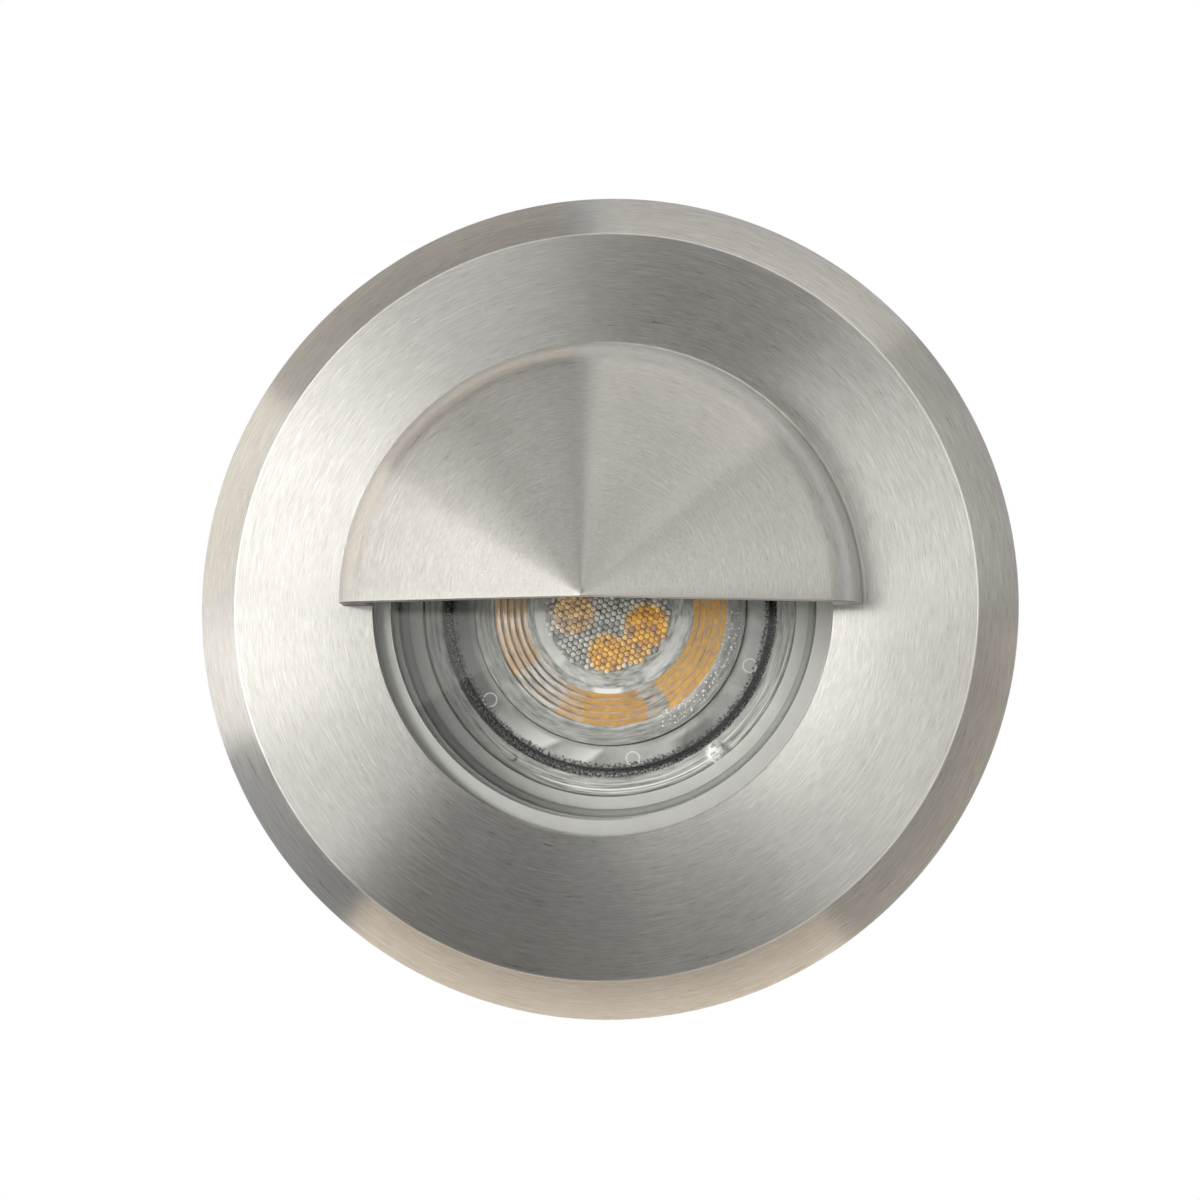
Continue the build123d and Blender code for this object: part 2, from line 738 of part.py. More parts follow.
# ---------------------------------------------------------------- cable gland
def gland_body():
    """The gland's body: a threaded stem in the cap, a hexagon and a threaded nose."""
    stem = disc(gland_thread_radius, cap_boss_y, gland_end_y)
    body = stem + hexagon(gland_hex, gland_hex_y, gland_nose_y)
    body -= disc(gland_bore_radius, cap_boss_y, gland_end_y)
    body -= disc(seal_radius + part_gap / 2, seal_front_y, gland_end_y)
    return body


def gland_sealing_washer():
    """The flat ring between the gland's hexagon and the cap."""
    return ring(gland_hex / 2, gland_thread_radius + part_gap, cap_back_y, gland_hex_y)


def gland_seal():
    """The rubber sleeve that closes round the cable."""
    return ring(seal_radius, seal_bore, seal_front_y, seal_back_y)


def gland_slip_ring():
    """The thin ring that lets the nut turn without twisting the seal."""
    return ring(slip_ring_outer, gland_bore_radius, seal_back_y, slip_ring_back_y)


def gland_nut():
    """The dome nut that presses the slip ring onto the seal."""
    front = gland_nose_y + nut_gap
    inner_end = slip_ring_back_y
    end = inner_end + nut_end_wall
    nut = hexagon(gland_hex, front, end)
    crown = turned([
        (0, front),
        (gland_hex, front),
        (gland_hex, end - nut_chamfer * 2),
        (gland_hex / 2 - nut_chamfer, end),
        (0, end),
    ])
    nut = nut & crown
    nut -= disc(gland_thread_radius + running_gap, front, inner_end)
    return nut - disc(gland_bore_radius, front, end)


# ---------------------------------------------------------------- spring clips
def cross_bar(radius, side, near, far, y, z):
    """A round bar along X, from near to far on one side of the light."""
    place = Pos(side * (near + far) / 2, y, z) * Rot(0, 90, 0)
    return place * Cylinder(radius, far - near)


def mirrored(solid, side):
    """The clip pieces are drawn on the +X side; the other side is their mirror image."""
    return solid if side > 0 else mirror(solid, Plane.YZ)


def clip_bracket(side):
    """A folded sheet bracket: a base on the barrel's flat and two ears that carry the pin."""
    outer_z = bracket_ear_inner + bracket_sheet
    base_face = clip_pad_face + bracket_sheet
    body = block((clip_pad_face, base_face), (bracket_start, bracket_end), (-outer_z, outer_z))
    for z_range in ((-outer_z, -bracket_ear_inner), (bracket_ear_inner, outer_z)):
        middle = (z_range[0] + z_range[1]) / 2
        eye = Pos(clip_pin_reach, clip_pin_depth, middle) * Cylinder(bracket_ear_radius, bracket_sheet)
        web = block(
            (clip_pad_face, clip_pin_reach),
            (clip_pin_depth - bracket_ear_radius, clip_pin_depth + bracket_ear_radius),
            z_range,
        )
        body += eye + web
    body -= Pos(clip_pin_reach, clip_pin_depth, 0) * Cylinder(clip_pin_radius + thread_gap, 4 * outer_z)
    for z in (-rivet_offset, rivet_offset):
        body -= cross_bar(rivet_radius + part_gap, 1, clip_pad_face, base_face, rivet_depth, z)
    return mirrored(body, side)


def clip_pin(side):
    """The hinge pin, riveted over outside both ears."""
    half = bracket_ear_inner + bracket_sheet
    pin = Cylinder(clip_pin_radius, 2 * half + 2 * rivet_head_height)
    for way in (-1, 1):
        head = Cylinder(clip_pin_radius + rivet_head_height, rivet_head_height)
        pin += Pos(0, 0, way * (half + rivet_head_height / 2)) * head
    return mirrored(Pos(clip_pin_reach, clip_pin_depth, 0) * pin, side)


def clip_rivets():
    """The rivets that hold both brackets to the barrel."""
    rivets = []
    base_face = clip_pad_face + bracket_sheet
    for side in (-1, 1):
        for z in (-rivet_offset, rivet_offset):
            shank = cross_bar(rivet_radius - thread_gap, side, clip_pad_face - rivet_bite + part_gap, base_face,
                              rivet_depth, z)
            head = cross_bar(rivet_head_radius, side, base_face, base_face + rivet_head_height, rivet_depth, z)
            rivets.append(shank + head)
    return rivets


def at_arm(solid):
    """Places a piece drawn with its hinge at the origin and its arm along +X into the free position."""
    return Pos(clip_pin_reach, clip_pin_depth, 0) * Rot(0, 0, arm_angle) * solid


def clip_arm(side):
    """The sprung arm: two knuckles on the pin, a flat strap and a rolled tip."""
    half_sheet = arm_sheet / 2
    inner_z = arm_half_width - arm_knuckle_width
    arm = block((0, arm_length), (-half_sheet, half_sheet), (-arm_half_width, arm_half_width))
    arm += Cylinder(arm_knuckle_radius, 2 * arm_half_width)
    arm += Pos(arm_length, 0, 0) * Cylinder(arm_tip_radius, 2 * arm_half_width)
    window = coil_mean_radius + 2 * coil_wire + arm_sheet
    arm -= block((-window, window), (-window, window), (-inner_z, inner_z))
    arm -= Cylinder(clip_pin_radius + running_gap, 4 * arm_half_width)
    return mirrored(at_arm(arm), side)


def clip_pad(side):
    """The plastic sleeve on the arm's tip, slit where the strap leaves it."""
    length = 2 * arm_pad_half_length
    sleeve = Cylinder(arm_tip_radius + arm_pad_wall, length)
    sleeve -= Cylinder(arm_tip_radius + thread_gap, length)
    slit = arm_sheet / 2 + thread_gap
    reach = arm_tip_radius + arm_pad_wall
    sleeve -= block((-2 * reach, 0), (-slit, slit), (-length, length))
    return mirrored(at_arm(Pos(arm_length, 0, 0) * sleeve), side)


def clip_spring(side):
    """A close-wound torsion spring on the pin, with one leg on the bracket and one on the arm."""
    inner = coil_mean_radius - coil_wire
    half_length = coil_turns * coil_wire
    waist = coil_wire / 3
    outline = [(inner, half_length)]
    for turn in range(coil_turns):
        top = half_length - turn * 2 * coil_wire
        outline.append((coil_mean_radius + coil_wire - waist, top))
        outline.append((coil_mean_radius + coil_wire, top - coil_wire))
    outline.append((coil_mean_radius + coil_wire - waist, -half_length))
    outline.append((inner, -half_length))
    profile = make_face(Plane.XZ * Polyline(*outline, close=True))
    coil = revolve(profile, Axis.Z, 360)
    to_base = clip_pin_reach - clip_pad_face - bracket_sheet - coil_mean_radius - coil_wire - part_gap
    lean = math.degrees(math.asin(to_base / coil_leg_length))
    fixed_leg = Pos(-coil_mean_radius, 0, half_length - coil_wire) * Rot(0, 0, lean)
    fixed_leg = fixed_leg * Pos(0, coil_leg_length / 2, 0) * Rot(90, 0, 0) * Cylinder(coil_wire, coil_leg_length)
    to_arm = coil_mean_radius - arm_sheet / 2 - coil_wire - part_gap
    lean = math.degrees(math.asin(to_arm / coil_leg_length))
    free_leg = Pos(0, coil_mean_radius, -half_length + coil_wire) * Rot(0, 0, -lean)
    free_leg = free_leg * Pos(coil_leg_length / 2, 0, 0) * Rot(0, 90, 0) * Cylinder(coil_wire, coil_leg_length)
    spring = coil + fixed_leg + Rot(0, 0, arm_angle) * free_leg
    return mirrored(Pos(clip_pin_reach, clip_pin_depth, 0) * spring, side)


# ---------------------------------------------------------------- the assembly
nodes = {
    "eyelid_fascia": eyelid_fascia(),
    "wall_gasket": wall_gasket(),
    "front_glass": front_glass(),
    "glass_gasket": glass_gasket(),
    "housing_barrel": housing_barrel(),
    "fascia_screws": fascia_screws(),
    "lamp_carrier_ring": lamp_carrier_ring(),
    "lamp_circlip": lamp_circlip(),
    "lamp_glass_cup": lamp_glass_cup(),
    "lamp_lens_holder": lamp_lens_holder(),
    "lamp_lens": lamp_lens(),
    "lamp_led_board": lamp_led_board(),
    "lamp_led_chips": lamp_led_chips(),
    "lamp_heat_sink": lamp_heat_sink(),
    "lamp_base": lamp_base(),
    "lamp_pins": lamp_pins(),
    "lampholder": lampholder(),
    "lampholder_contacts": lampholder_contacts(),
    "lamp_lead_left": lamp_lead(-1),
    "lamp_lead_right": lamp_lead(1),
    "terminal_block": terminal_block(),
    "terminal_tubes": terminal_tubes(),
    "terminal_screws": terminal_screws(),
    "terminal_block_screw": block_screw(),
    "rear_cap": rear_cap(),
    "rear_cap_seal": rear_cap_seal(),
    "rear_cap_screws": rear_cap_screws(),
    "gland_body": gland_body(),
    "gland_sealing_washer": gland_sealing_washer(),
    "gland_seal": gland_seal(),
    "gland_slip_ring": gland_slip_ring(),
    "gland_nut": gland_nut(),
    "clip_rivets": clip_rivets(),
}
for name, side in (("left", -1), ("right", 1)):
    nodes[f"clip_bracket_{name}"] = clip_bracket(side)
    nodes[f"clip_pin_{name}"] = clip_pin(side)
    nodes[f"clip_spring_{name}"] = clip_spring(side)
    nodes[f"clip_arm_{name}"] = clip_arm(side)
    nodes[f"clip_pad_{name}"] = clip_pad(side)

os.makedirs("parts", exist_ok=True)
for name, shape in nodes.items():
    solids = shape if isinstance(shape, list) else [shape]
    group = Compound(label=name, children=[solid for item in solids for solid in item.solids()])
    export_step(group, f"parts/{name}.step")
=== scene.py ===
import math

import bmesh
import bpy
from mathutils import Matrix, Vector


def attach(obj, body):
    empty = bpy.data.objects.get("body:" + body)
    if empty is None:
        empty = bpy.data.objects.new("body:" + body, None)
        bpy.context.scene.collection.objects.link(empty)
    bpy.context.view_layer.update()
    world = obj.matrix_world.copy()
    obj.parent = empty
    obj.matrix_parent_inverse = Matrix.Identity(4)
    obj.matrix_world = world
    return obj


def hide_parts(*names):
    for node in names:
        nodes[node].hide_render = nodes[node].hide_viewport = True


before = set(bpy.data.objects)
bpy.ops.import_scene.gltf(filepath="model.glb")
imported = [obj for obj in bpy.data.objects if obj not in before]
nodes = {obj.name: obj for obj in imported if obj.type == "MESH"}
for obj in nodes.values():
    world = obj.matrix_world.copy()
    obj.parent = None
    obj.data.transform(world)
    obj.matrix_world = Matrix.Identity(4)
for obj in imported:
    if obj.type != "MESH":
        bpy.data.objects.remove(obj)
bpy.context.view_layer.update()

MM = 0.001
TURNED_STEPS = 256          # faces round a turned piece

# Sizes used more than once, in millimetres and degrees
FLANGE = 55.0               # outer radius of the face
BEVEL_EDGE = 49.7           # radius where the flat face ends
OPENING = 30.75             # radius of the opening
FACE_FRONT = -4.0           # depth of the flat face
STEPS_OUTER = 15.8          # the optic's stepped rings
STEPS_INNER = 11.2
STEP_COUNT = 5
STEP_PITCH = (STEPS_OUTER - STEPS_INNER) / STEP_COUNT
RIM_FRONT = 6.3             # depth of the pressed rim's front
GATE_MARK = (307.4, 24.2)   # angle and reach of the large mark on the pressed rim


# ---------------------------------------------------------------- small tools
def linear(code):
    """An sRGB hex colour as linear red, green, blue and alpha."""
    channels = [int(code[i:i + 2], 16) / 255 for i in (1, 3, 5)]
    return [c / 12.92 if c <= 0.04045 else ((c + 0.055) / 1.055) ** 2.4 for c in channels] + [1.0]


def add_node(tree, kind, settings=None, links=None):
    """Adds a node with its settings, which are input values or properties, and its links."""
    node = tree.nodes.new(kind)
    for key, value in (settings or {}).items():
        if isinstance(key, int) or key in node.inputs:
            node.inputs[key].default_value = value
        else:
            setattr(node, key, value)
    for key, socket in (links or {}).items():
        tree.links.new(socket, node.inputs[key])
    return node


def new_material(name):
    """An empty material with a Principled shader on its output."""
    material = bpy.data.materials.new(name)
    material.use_nodes = True
    tree = material.node_tree
    tree.nodes.clear()
    shader = add_node(tree, "ShaderNodeBsdfPrincipled")
    add_node(tree, "ShaderNodeOutputMaterial", links={"Surface": shader.outputs[0]})
    return material, tree, shader


def maths(tree, operation, first, second=None, clamp=False):
    """One Math node on two values or sockets."""
    node = add_node(tree, "ShaderNodeMath", {"operation": operation, "use_clamp": clamp})
    for index, value in enumerate((first, second)):
        if value is None:
            continue
        if isinstance(value, (int, float)):
            node.inputs[index].default_value = value
        else:
            tree.links.new(value, node.inputs[index])
    return node.outputs[0]


def polar(tree):
    """Radius about the light's axis in millimetres, angle in degrees anticlockwise from +X as the face is
    seen, and the unit direction (x, z, 0) from the axis."""
    place = add_node(tree, "ShaderNodeTexCoord").outputs["Object"]
    parts = add_node(tree, "ShaderNodeSeparateXYZ", links={0: place})
    flat = add_node(tree, "ShaderNodeCombineXYZ", links={0: parts.outputs[0], 1: parts.outputs[2]})
    length = add_node(tree, "ShaderNodeVectorMath", {"operation": "LENGTH"}, {0: flat.outputs[0]})
    way = add_node(tree, "ShaderNodeVectorMath", {"operation": "NORMALIZE"}, {0: flat.outputs[0]})
    turn = maths(tree, "ARCTAN2", parts.outputs[2], parts.outputs[0])
    whole = add_node(tree, "ShaderNodeMath", {"operation": "WRAP", 1: 2 * math.pi, 2: 0.0}, {0: turn})
    degrees = maths(tree, "MULTIPLY", whole.outputs[0], 180 / math.pi)
    radius = maths(tree, "MULTIPLY", length.outputs["Value"], 1 / MM)
    return radius, degrees, way.outputs[0]


def band(tree, value, low, high, soft):
    """1 where value lies between low and high, falling to 0 over the soft width outside."""
    ends = ((low - soft, low, 0.0, 1.0), (high, high + soft, 1.0, 0.0))
    sides = []
    for start, stop, first, last in ends:
        side = add_node(tree, "ShaderNodeMapRange", {
            "interpolation_type": "SMOOTHSTEP", "From Min": start, "From Max": stop, "To Min": first,
            "To Max": last}, {"Value": value})
        sides.append(side.outputs[0])
    return maths(tree, "MULTIPLY", *sides)


def mix_colours(tree, factor, first, second):
    """Blends two colours, given as hex codes or sockets."""
    node = add_node(tree, "ShaderNodeMix", {"data_type": "RGBA"})
    if isinstance(factor, (int, float)):
        node.inputs[0].default_value = factor
    else:
        tree.links.new(factor, node.inputs[0])
    for index, colour in ((6, first), (7, second)):
        if isinstance(colour, str):
            node.inputs[index].default_value = linear(colour)
        else:
            tree.links.new(colour, node.inputs[index])
    return node.outputs[2]


def grain(tree, scale, detail=3.0, roughness=0.6, vector=None):
    """Noise with its scale in features a metre, on Object coordinates unless a vector is given."""
    if vector is None:
        vector = add_node(tree, "ShaderNodeTexCoord").outputs["Object"]
    noise = add_node(tree, "ShaderNodeTexNoise", {"Scale": scale, "Detail": detail, "Roughness": roughness},
                     {"Vector": vector})
    return noise.outputs["Fac"]


def bump(tree, shader, height, strength, distance):
    """Raises the surface by a height pattern; distance is in millimetres."""
    node = add_node(tree, "ShaderNodeBump", {"Strength": strength, "Distance": distance * MM},
                    {"Height": height})
    tree.links.new(node.outputs[0], shader.inputs["Normal"])


def ring_streaks(tree, radius, way, round_scale, radial_scale, detail=4.0):
    """Noise drawn out round the axis: scales are features a radian and features a millimetre."""
    spread = add_node(tree, "ShaderNodeVectorMath", {"operation": "SCALE", "Scale": round_scale}, {0: way})
    parts = add_node(tree, "ShaderNodeSeparateXYZ", links={0: spread.outputs[0]})
    across = maths(tree, "MULTIPLY", radius, radial_scale)
    lines = add_node(tree, "ShaderNodeCombineXYZ",
                     links={0: parts.outputs[0], 1: parts.outputs[1], 2: across})
    return grain(tree, 1.0, detail, 0.62, lines.outputs[0])


def along_outline(tree, radius):
    """Millimetres along a turned outline: radius and depth together, so that a pattern changes on walls
    too."""
    place = add_node(tree, "ShaderNodeTexCoord").outputs["Object"]
    depth = add_node(tree, "ShaderNodeSeparateXYZ", links={0: place}).outputs[1]
    return maths(tree, "ADD", radius, maths(tree, "MULTIPLY", depth, 1 / MM))


def stretch(tree, value, low, high, first=0.0, last=1.0):
    """Maps low..high to first..last, clamped."""
    return add_node(tree, "ShaderNodeMapRange", {
        "From Min": low, "From Max": high, "To Min": first, "To Max": last}, {"Value": value}).outputs[0]


def patch(tree, radius, degrees, radii, angles, soft_mm, soft_degrees, strength=1.0):
    """A soft-edged sector of a ring, as a mask."""
    ring = band(tree, radius, *radii, soft_mm)
    sector = band(tree, degrees, *angles, soft_degrees)
    return maths(tree, "MULTIPLY", maths(tree, "MULTIPLY", ring, sector), strength)


def on_circle(degrees, reach):
    """X and Z of a point at an angle and a distance from the axis."""
    angle = math.radians(degrees)
    return reach * math.cos(angle), reach * math.sin(angle)


def away_from(tree, x, z):
    """Distance in millimetres from a line along Y at x, z."""
    place = add_node(tree, "ShaderNodeTexCoord").outputs["Object"]
    parts = add_node(tree, "ShaderNodeSeparateXYZ", links={0: place})
    flat = add_node(tree, "ShaderNodeCombineXYZ", links={0: parts.outputs[0], 1: parts.outputs[2]})
    gap = add_node(tree, "ShaderNodeVectorMath", {"operation": "DISTANCE", 1: (x * MM, z * MM, 0.0)},
                   {0: flat.outputs[0]})
    return maths(tree, "MULTIPLY", gap.outputs["Value"], 1 / MM)


# ---------------------------------------------------------------- making turned pieces
def arc(centre, radius, start, stop, steps):
    """Points on an arc, angles in degrees from +radius towards +y."""
    points = []
    for step in range(steps + 1):
        angle = math.radians(start + (stop - start) * step / steps)
        points.append((centre[0] + radius * math.cos(angle), centre[1] + radius * math.sin(angle)))
    return points


def eased(outline, size, steps=3):
    """The outline with every corner rounded by a small radius, except on the axis."""
    points = []
    count = len(outline)
    for index, corner in enumerate(outline):
        before = Vector(outline[index - 1])
        after = Vector(outline[(index + 1) % count])
        here = Vector(corner)
        to_before, to_after = before - here, after - here
        if here.x < 1e-6 or to_before.length < 1e-6 or to_after.length < 1e-6:
            points.append(tuple(here))
            continue
        opening = to_before.angle(to_after)
        if opening > math.radians(165):
            points.append(tuple(here))
            continue
        reach = min(size / math.tan(opening / 2), 0.4 * to_before.length, 0.4 * to_after.length)
        first = here + to_before.normalized() * reach
        last = here + to_after.normalized() * reach
        for step in range(steps + 1):
            t = step / steps
            point = first * (1 - t) ** 2 + here * 2 * t * (1 - t) + last * t ** 2
            points.append(tuple(point))
    return points


def turned_mesh(outline, steps=TURNED_STEPS):
    """A bmesh turned about Y from a closed outline of (radius, y) in millimetres. Its UV map, called
    turning, runs round the axis in U and along the outline in V, so that brushing can follow it."""
    mesh = bmesh.new()
    layer = mesh.loops.layers.uv.new("turning")
    rings = []
    for radius, y in outline:
        if radius < 1e-6:
            rings.append([mesh.verts.new((0, y * MM, 0))] * steps)
            continue
        ring = []
        for step in range(steps):
            angle = 2 * math.pi * step / steps
            x, z = radius * math.cos(angle), radius * math.sin(angle)
            ring.append(mesh.verts.new((x * MM, y * MM, z * MM)))
        rings.append(ring)
    travelled = [0.0]
    for index in range(len(outline)):
        here, there = outline[index], outline[(index + 1) % len(outline)]
        travelled.append(travelled[-1] + math.dist(here, there) * MM)
    for index in range(len(outline)):
        ring, beyond = rings[index], rings[(index + 1) % len(outline)]
        if ring[0] is ring[1] and beyond[0] is beyond[1]:
            continue
        for step in range(steps):
            after = (step + 1) % steps
            corners = [(ring[step], step, 0), (ring[after], step + 1, 0),
                       (beyond[after], step + 1, 1), (beyond[step], step, 1)]
            unique = []
            for corner in corners:
                if corner[0] not in [c[0] for c in unique]:
                    unique.append(corner)
            face = mesh.faces.new([c[0] for c in unique])
            face.smooth = True
            for loop, corner in zip(face.loops, unique):
                loop[layer].uv = (corner[1] / steps, travelled[index + corner[2]] / 0.1)
    bmesh.ops.recalc_face_normals(mesh, faces=mesh.faces)
    return mesh


def finish_piece(name, mesh, material, replaced, body="light_body", sharp=32):
    """Turns a bmesh into an object of the light that stands for the CAD nodes."""
    data = bpy.data.meshes.new(name)
    mesh.to_mesh(data)
    mesh.free()
    data.set_sharp_from_angle(angle=math.radians(sharp))
    piece = bpy.data.objects.new(name, data)
    bpy.context.scene.collection.objects.link(piece)
    data.materials.append(material)
    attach(piece, body)
    if replaced:
        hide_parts(*replaced)
    return piece


# ---------------------------------------------------------------- materials
STEEL_DARK = "#b9b8b5"
STEEL_LIGHT = "#dbdad8"


def brushed_stainless():
    """Stainless steel, turned and then brushed as it spins: fine scratches run round the axis, so light
    smears into fans that meet at the centre. Scratches are about 0.1 mm apart and a millimetre or two long,
    with broader passes of the brush and a few long hairlines, and a painted highlight whitens the edge of
    the bevel."""
    material, tree, shader = new_material("brushed_stainless_steel")
    radius, _, way = polar(tree)
    travel = along_outline(tree, radius)
    scratches = ring_streaks(tree, travel, way, 22.0, 10.0, 2.0)
    passes = ring_streaks(tree, travel, way, 8.0, 3.4)
    hairlines = stretch(tree, ring_streaks(tree, travel, way, 3.0, 12.0, 1.0), 0.64, 0.72)
    clouds = grain(tree, 90.0, 3.0, 0.6)
    tone = maths(tree, "MULTIPLY", scratches, 0.6)
    for pattern, share in ((passes, 0.28), (clouds, 0.12)):
        tone = maths(tree, "ADD", tone, maths(tree, "MULTIPLY", pattern, share))
    colour = mix_colours(tree, stretch(tree, tone, 0.36, 0.64), STEEL_DARK, STEEL_LIGHT)
    colour = mix_colours(tree, maths(tree, "MULTIPLY", hairlines, 0.6), colour, "#f6f5f2")
    # Painted highlight: a thin white band along the edge of the bevel.
    edge = maths(tree, "MULTIPLY", band(tree, radius, BEVEL_EDGE - 0.1, BEVEL_EDGE + 0.08, 0.06), 0.7)
    colour = mix_colours(tree, edge, colour, "#ffffff")
    tree.links.new(colour, shader.inputs["Base Color"])
    tree.links.new(stretch(tree, passes, 0.3, 0.7, 0.27, 0.33), shader.inputs["Roughness"])
    shader.inputs["Metallic"].default_value = 1.0
    shader.inputs["Anisotropic"].default_value = 1.0
    shader.inputs["Anisotropic Rotation"].default_value = 0.25
    tangent = add_node(tree, "ShaderNodeTangent", {"direction_type": "UV_MAP", "uv_map": "turning"})
    tree.links.new(tangent.outputs[0], shader.inputs["Tangent"])
    bump(tree, shader, scratches, 0.25, 0.01)
    return material


def clear_glass():
    """Toughened soda-lime glass, clear: light passes it, and lamps still light what is behind it."""
    material, tree, shader = new_material("toughened_clear_glass")
    shader.inputs["Base Color"].default_value = linear("#fafaf9")
    shader.inputs["Roughness"].default_value = 0.02
    shader.inputs["IOR"].default_value = 1.5
    shader.inputs["Specular IOR Level"].default_value = 0.1
    shader.inputs["Transmission Weight"].default_value = 1.0
    smear = grain(tree, 60.0, 2.0)
    bump(tree, shader, smear, 0.02, 0.02)
    through = add_node(tree, "ShaderNodeBsdfTransparent", {"Color": linear("#f6f6f5")})
    rays = add_node(tree, "ShaderNodeLightPath")
    soft = maths(tree, "MAXIMUM", rays.outputs["Is Shadow Ray"], rays.outputs["Is Diffuse Ray"])
    mixed = add_node(tree, "ShaderNodeMixShader",
                     links={0: soft, 1: shader.outputs[0], 2: through.outputs[0]})
    tree.links.new(mixed.outputs[0], tree.nodes["Material Output"].inputs["Surface"])
    return material


def plain_finish(name, light, dark, roughness, metallic=0.0, scale=900.0, relief=0.01, extra=None):
    """A surface with fine grain: two close tones, a little change in gloss, and a slight relief in mm."""
    material, tree, shader = new_material(name)
    noise = grain(tree, scale, 4.0, 0.6)
    tree.links.new(mix_colours(tree, noise, dark, light), shader.inputs["Base Color"])
    gloss = stretch(tree, noise, 0.3, 0.7, roughness * 0.8, roughness * 1.2)
    tree.links.new(gloss, shader.inputs["Roughness"])
    shader.inputs["Metallic"].default_value = metallic
    bump(tree, shader, noise, 0.3, relief)
    for socket, value in (extra or {}).items():
        shader.inputs[socket].default_value = value
    return material


def machined_aluminium(name, light, dark, roughness, metallic=1.0):
    """Aluminium turned on a lathe: even tool marks about 0.3 mm apart round the axis. A chromate coat, with
    a low metallic value, makes it less of a mirror."""
    material, tree, shader = new_material(name)
    radius, _, _ = polar(tree)
    marks = maths(tree, "SINE", maths(tree, "MULTIPLY", along_outline(tree, radius), 2 * math.pi / 0.3))
    noise = grain(tree, 1600.0, 3.0, 0.6)
    tone = maths(tree, "ADD", maths(tree, "MULTIPLY", marks, 0.1), noise, clamp=True)
    tree.links.new(mix_colours(tree, tone, dark, light), shader.inputs["Base Color"])
    shader.inputs["Metallic"].default_value = metallic
    shader.inputs["Roughness"].default_value = roughness
    bump(tree, shader, marks, 0.2, 0.01)
    return material


def pressed_glass():
    """Borosilicate glass pressed in a mould: grey and half clear, with moulding rings about 0.5 mm apart,
    painted highlights as bright hairlines where the rim catches light, a gate mark with painted sparkle,
    and black specks in a band round the mouth."""
    material, tree, shader = new_material("pressed_borosilicate_glass")
    radius, degrees, way = polar(tree)
    rings = maths(tree, "SINE", maths(tree, "MULTIPLY", radius, 2 * math.pi / 0.55))
    flow = ring_streaks(tree, radius, way, 5.0, 2.4)
    body = mix_colours(tree, stretch(tree, flow, 0.34, 0.66), "#757571", "#c0c0bb")
    # Painted highlights: bright arcs on the rim at fixed angles, where it catches light.
    for radii, angles, strength in (((24.25, 24.38), (252, 306), 0.9), ((23.55, 23.62), (230, 330), 0.5),
                                    ((24.62, 24.7), (262, 345), 0.55)):
        line = patch(tree, radius, degrees, radii, angles, 0.06, 8.0, strength)
        body = mix_colours(tree, line, body, "#f2f2ee")
    # Painted sparkle: specks round the gate mark are whitened, as glints on the lump.
    gate = on_circle(*GATE_MARK)
    lump = maths(tree, "MULTIPLY", band(tree, away_from(tree, *gate), -1.0, 1.4, 0.3), 0.9)
    seeds = grain(tree, 1500.0, 3.0, 0.7)
    painted_gate_sparkle = maths(tree, "MULTIPLY", lump, stretch(tree, seeds, 0.4, 0.55))
    body = mix_colours(tree, painted_gate_sparkle, body, "#f4f4f2")
    # Black specks that thicken in a band 21 to 22.4 mm from the axis.
    specks = grain(tree, 3200.0, 3.0, 0.75)
    reach = maths(tree, "MULTIPLY", band(tree, radius, 21.0, 22.4, 0.9), 0.32)
    black = stretch(tree, maths(tree, "ADD", reach, specks), 0.76, 0.84)
    body = mix_colours(tree, black, body, "#171714")
    tree.links.new(body, shader.inputs["Base Color"])
    tree.links.new(stretch(tree, black, 0.0, 1.0, 0.22, 0.7), shader.inputs["Roughness"])
    shader.inputs["IOR"].default_value = 1.47
    bump(tree, shader, maths(tree, "ADD", maths(tree, "MULTIPLY", rings, 0.3), flow), 0.3, 0.1)
    return material


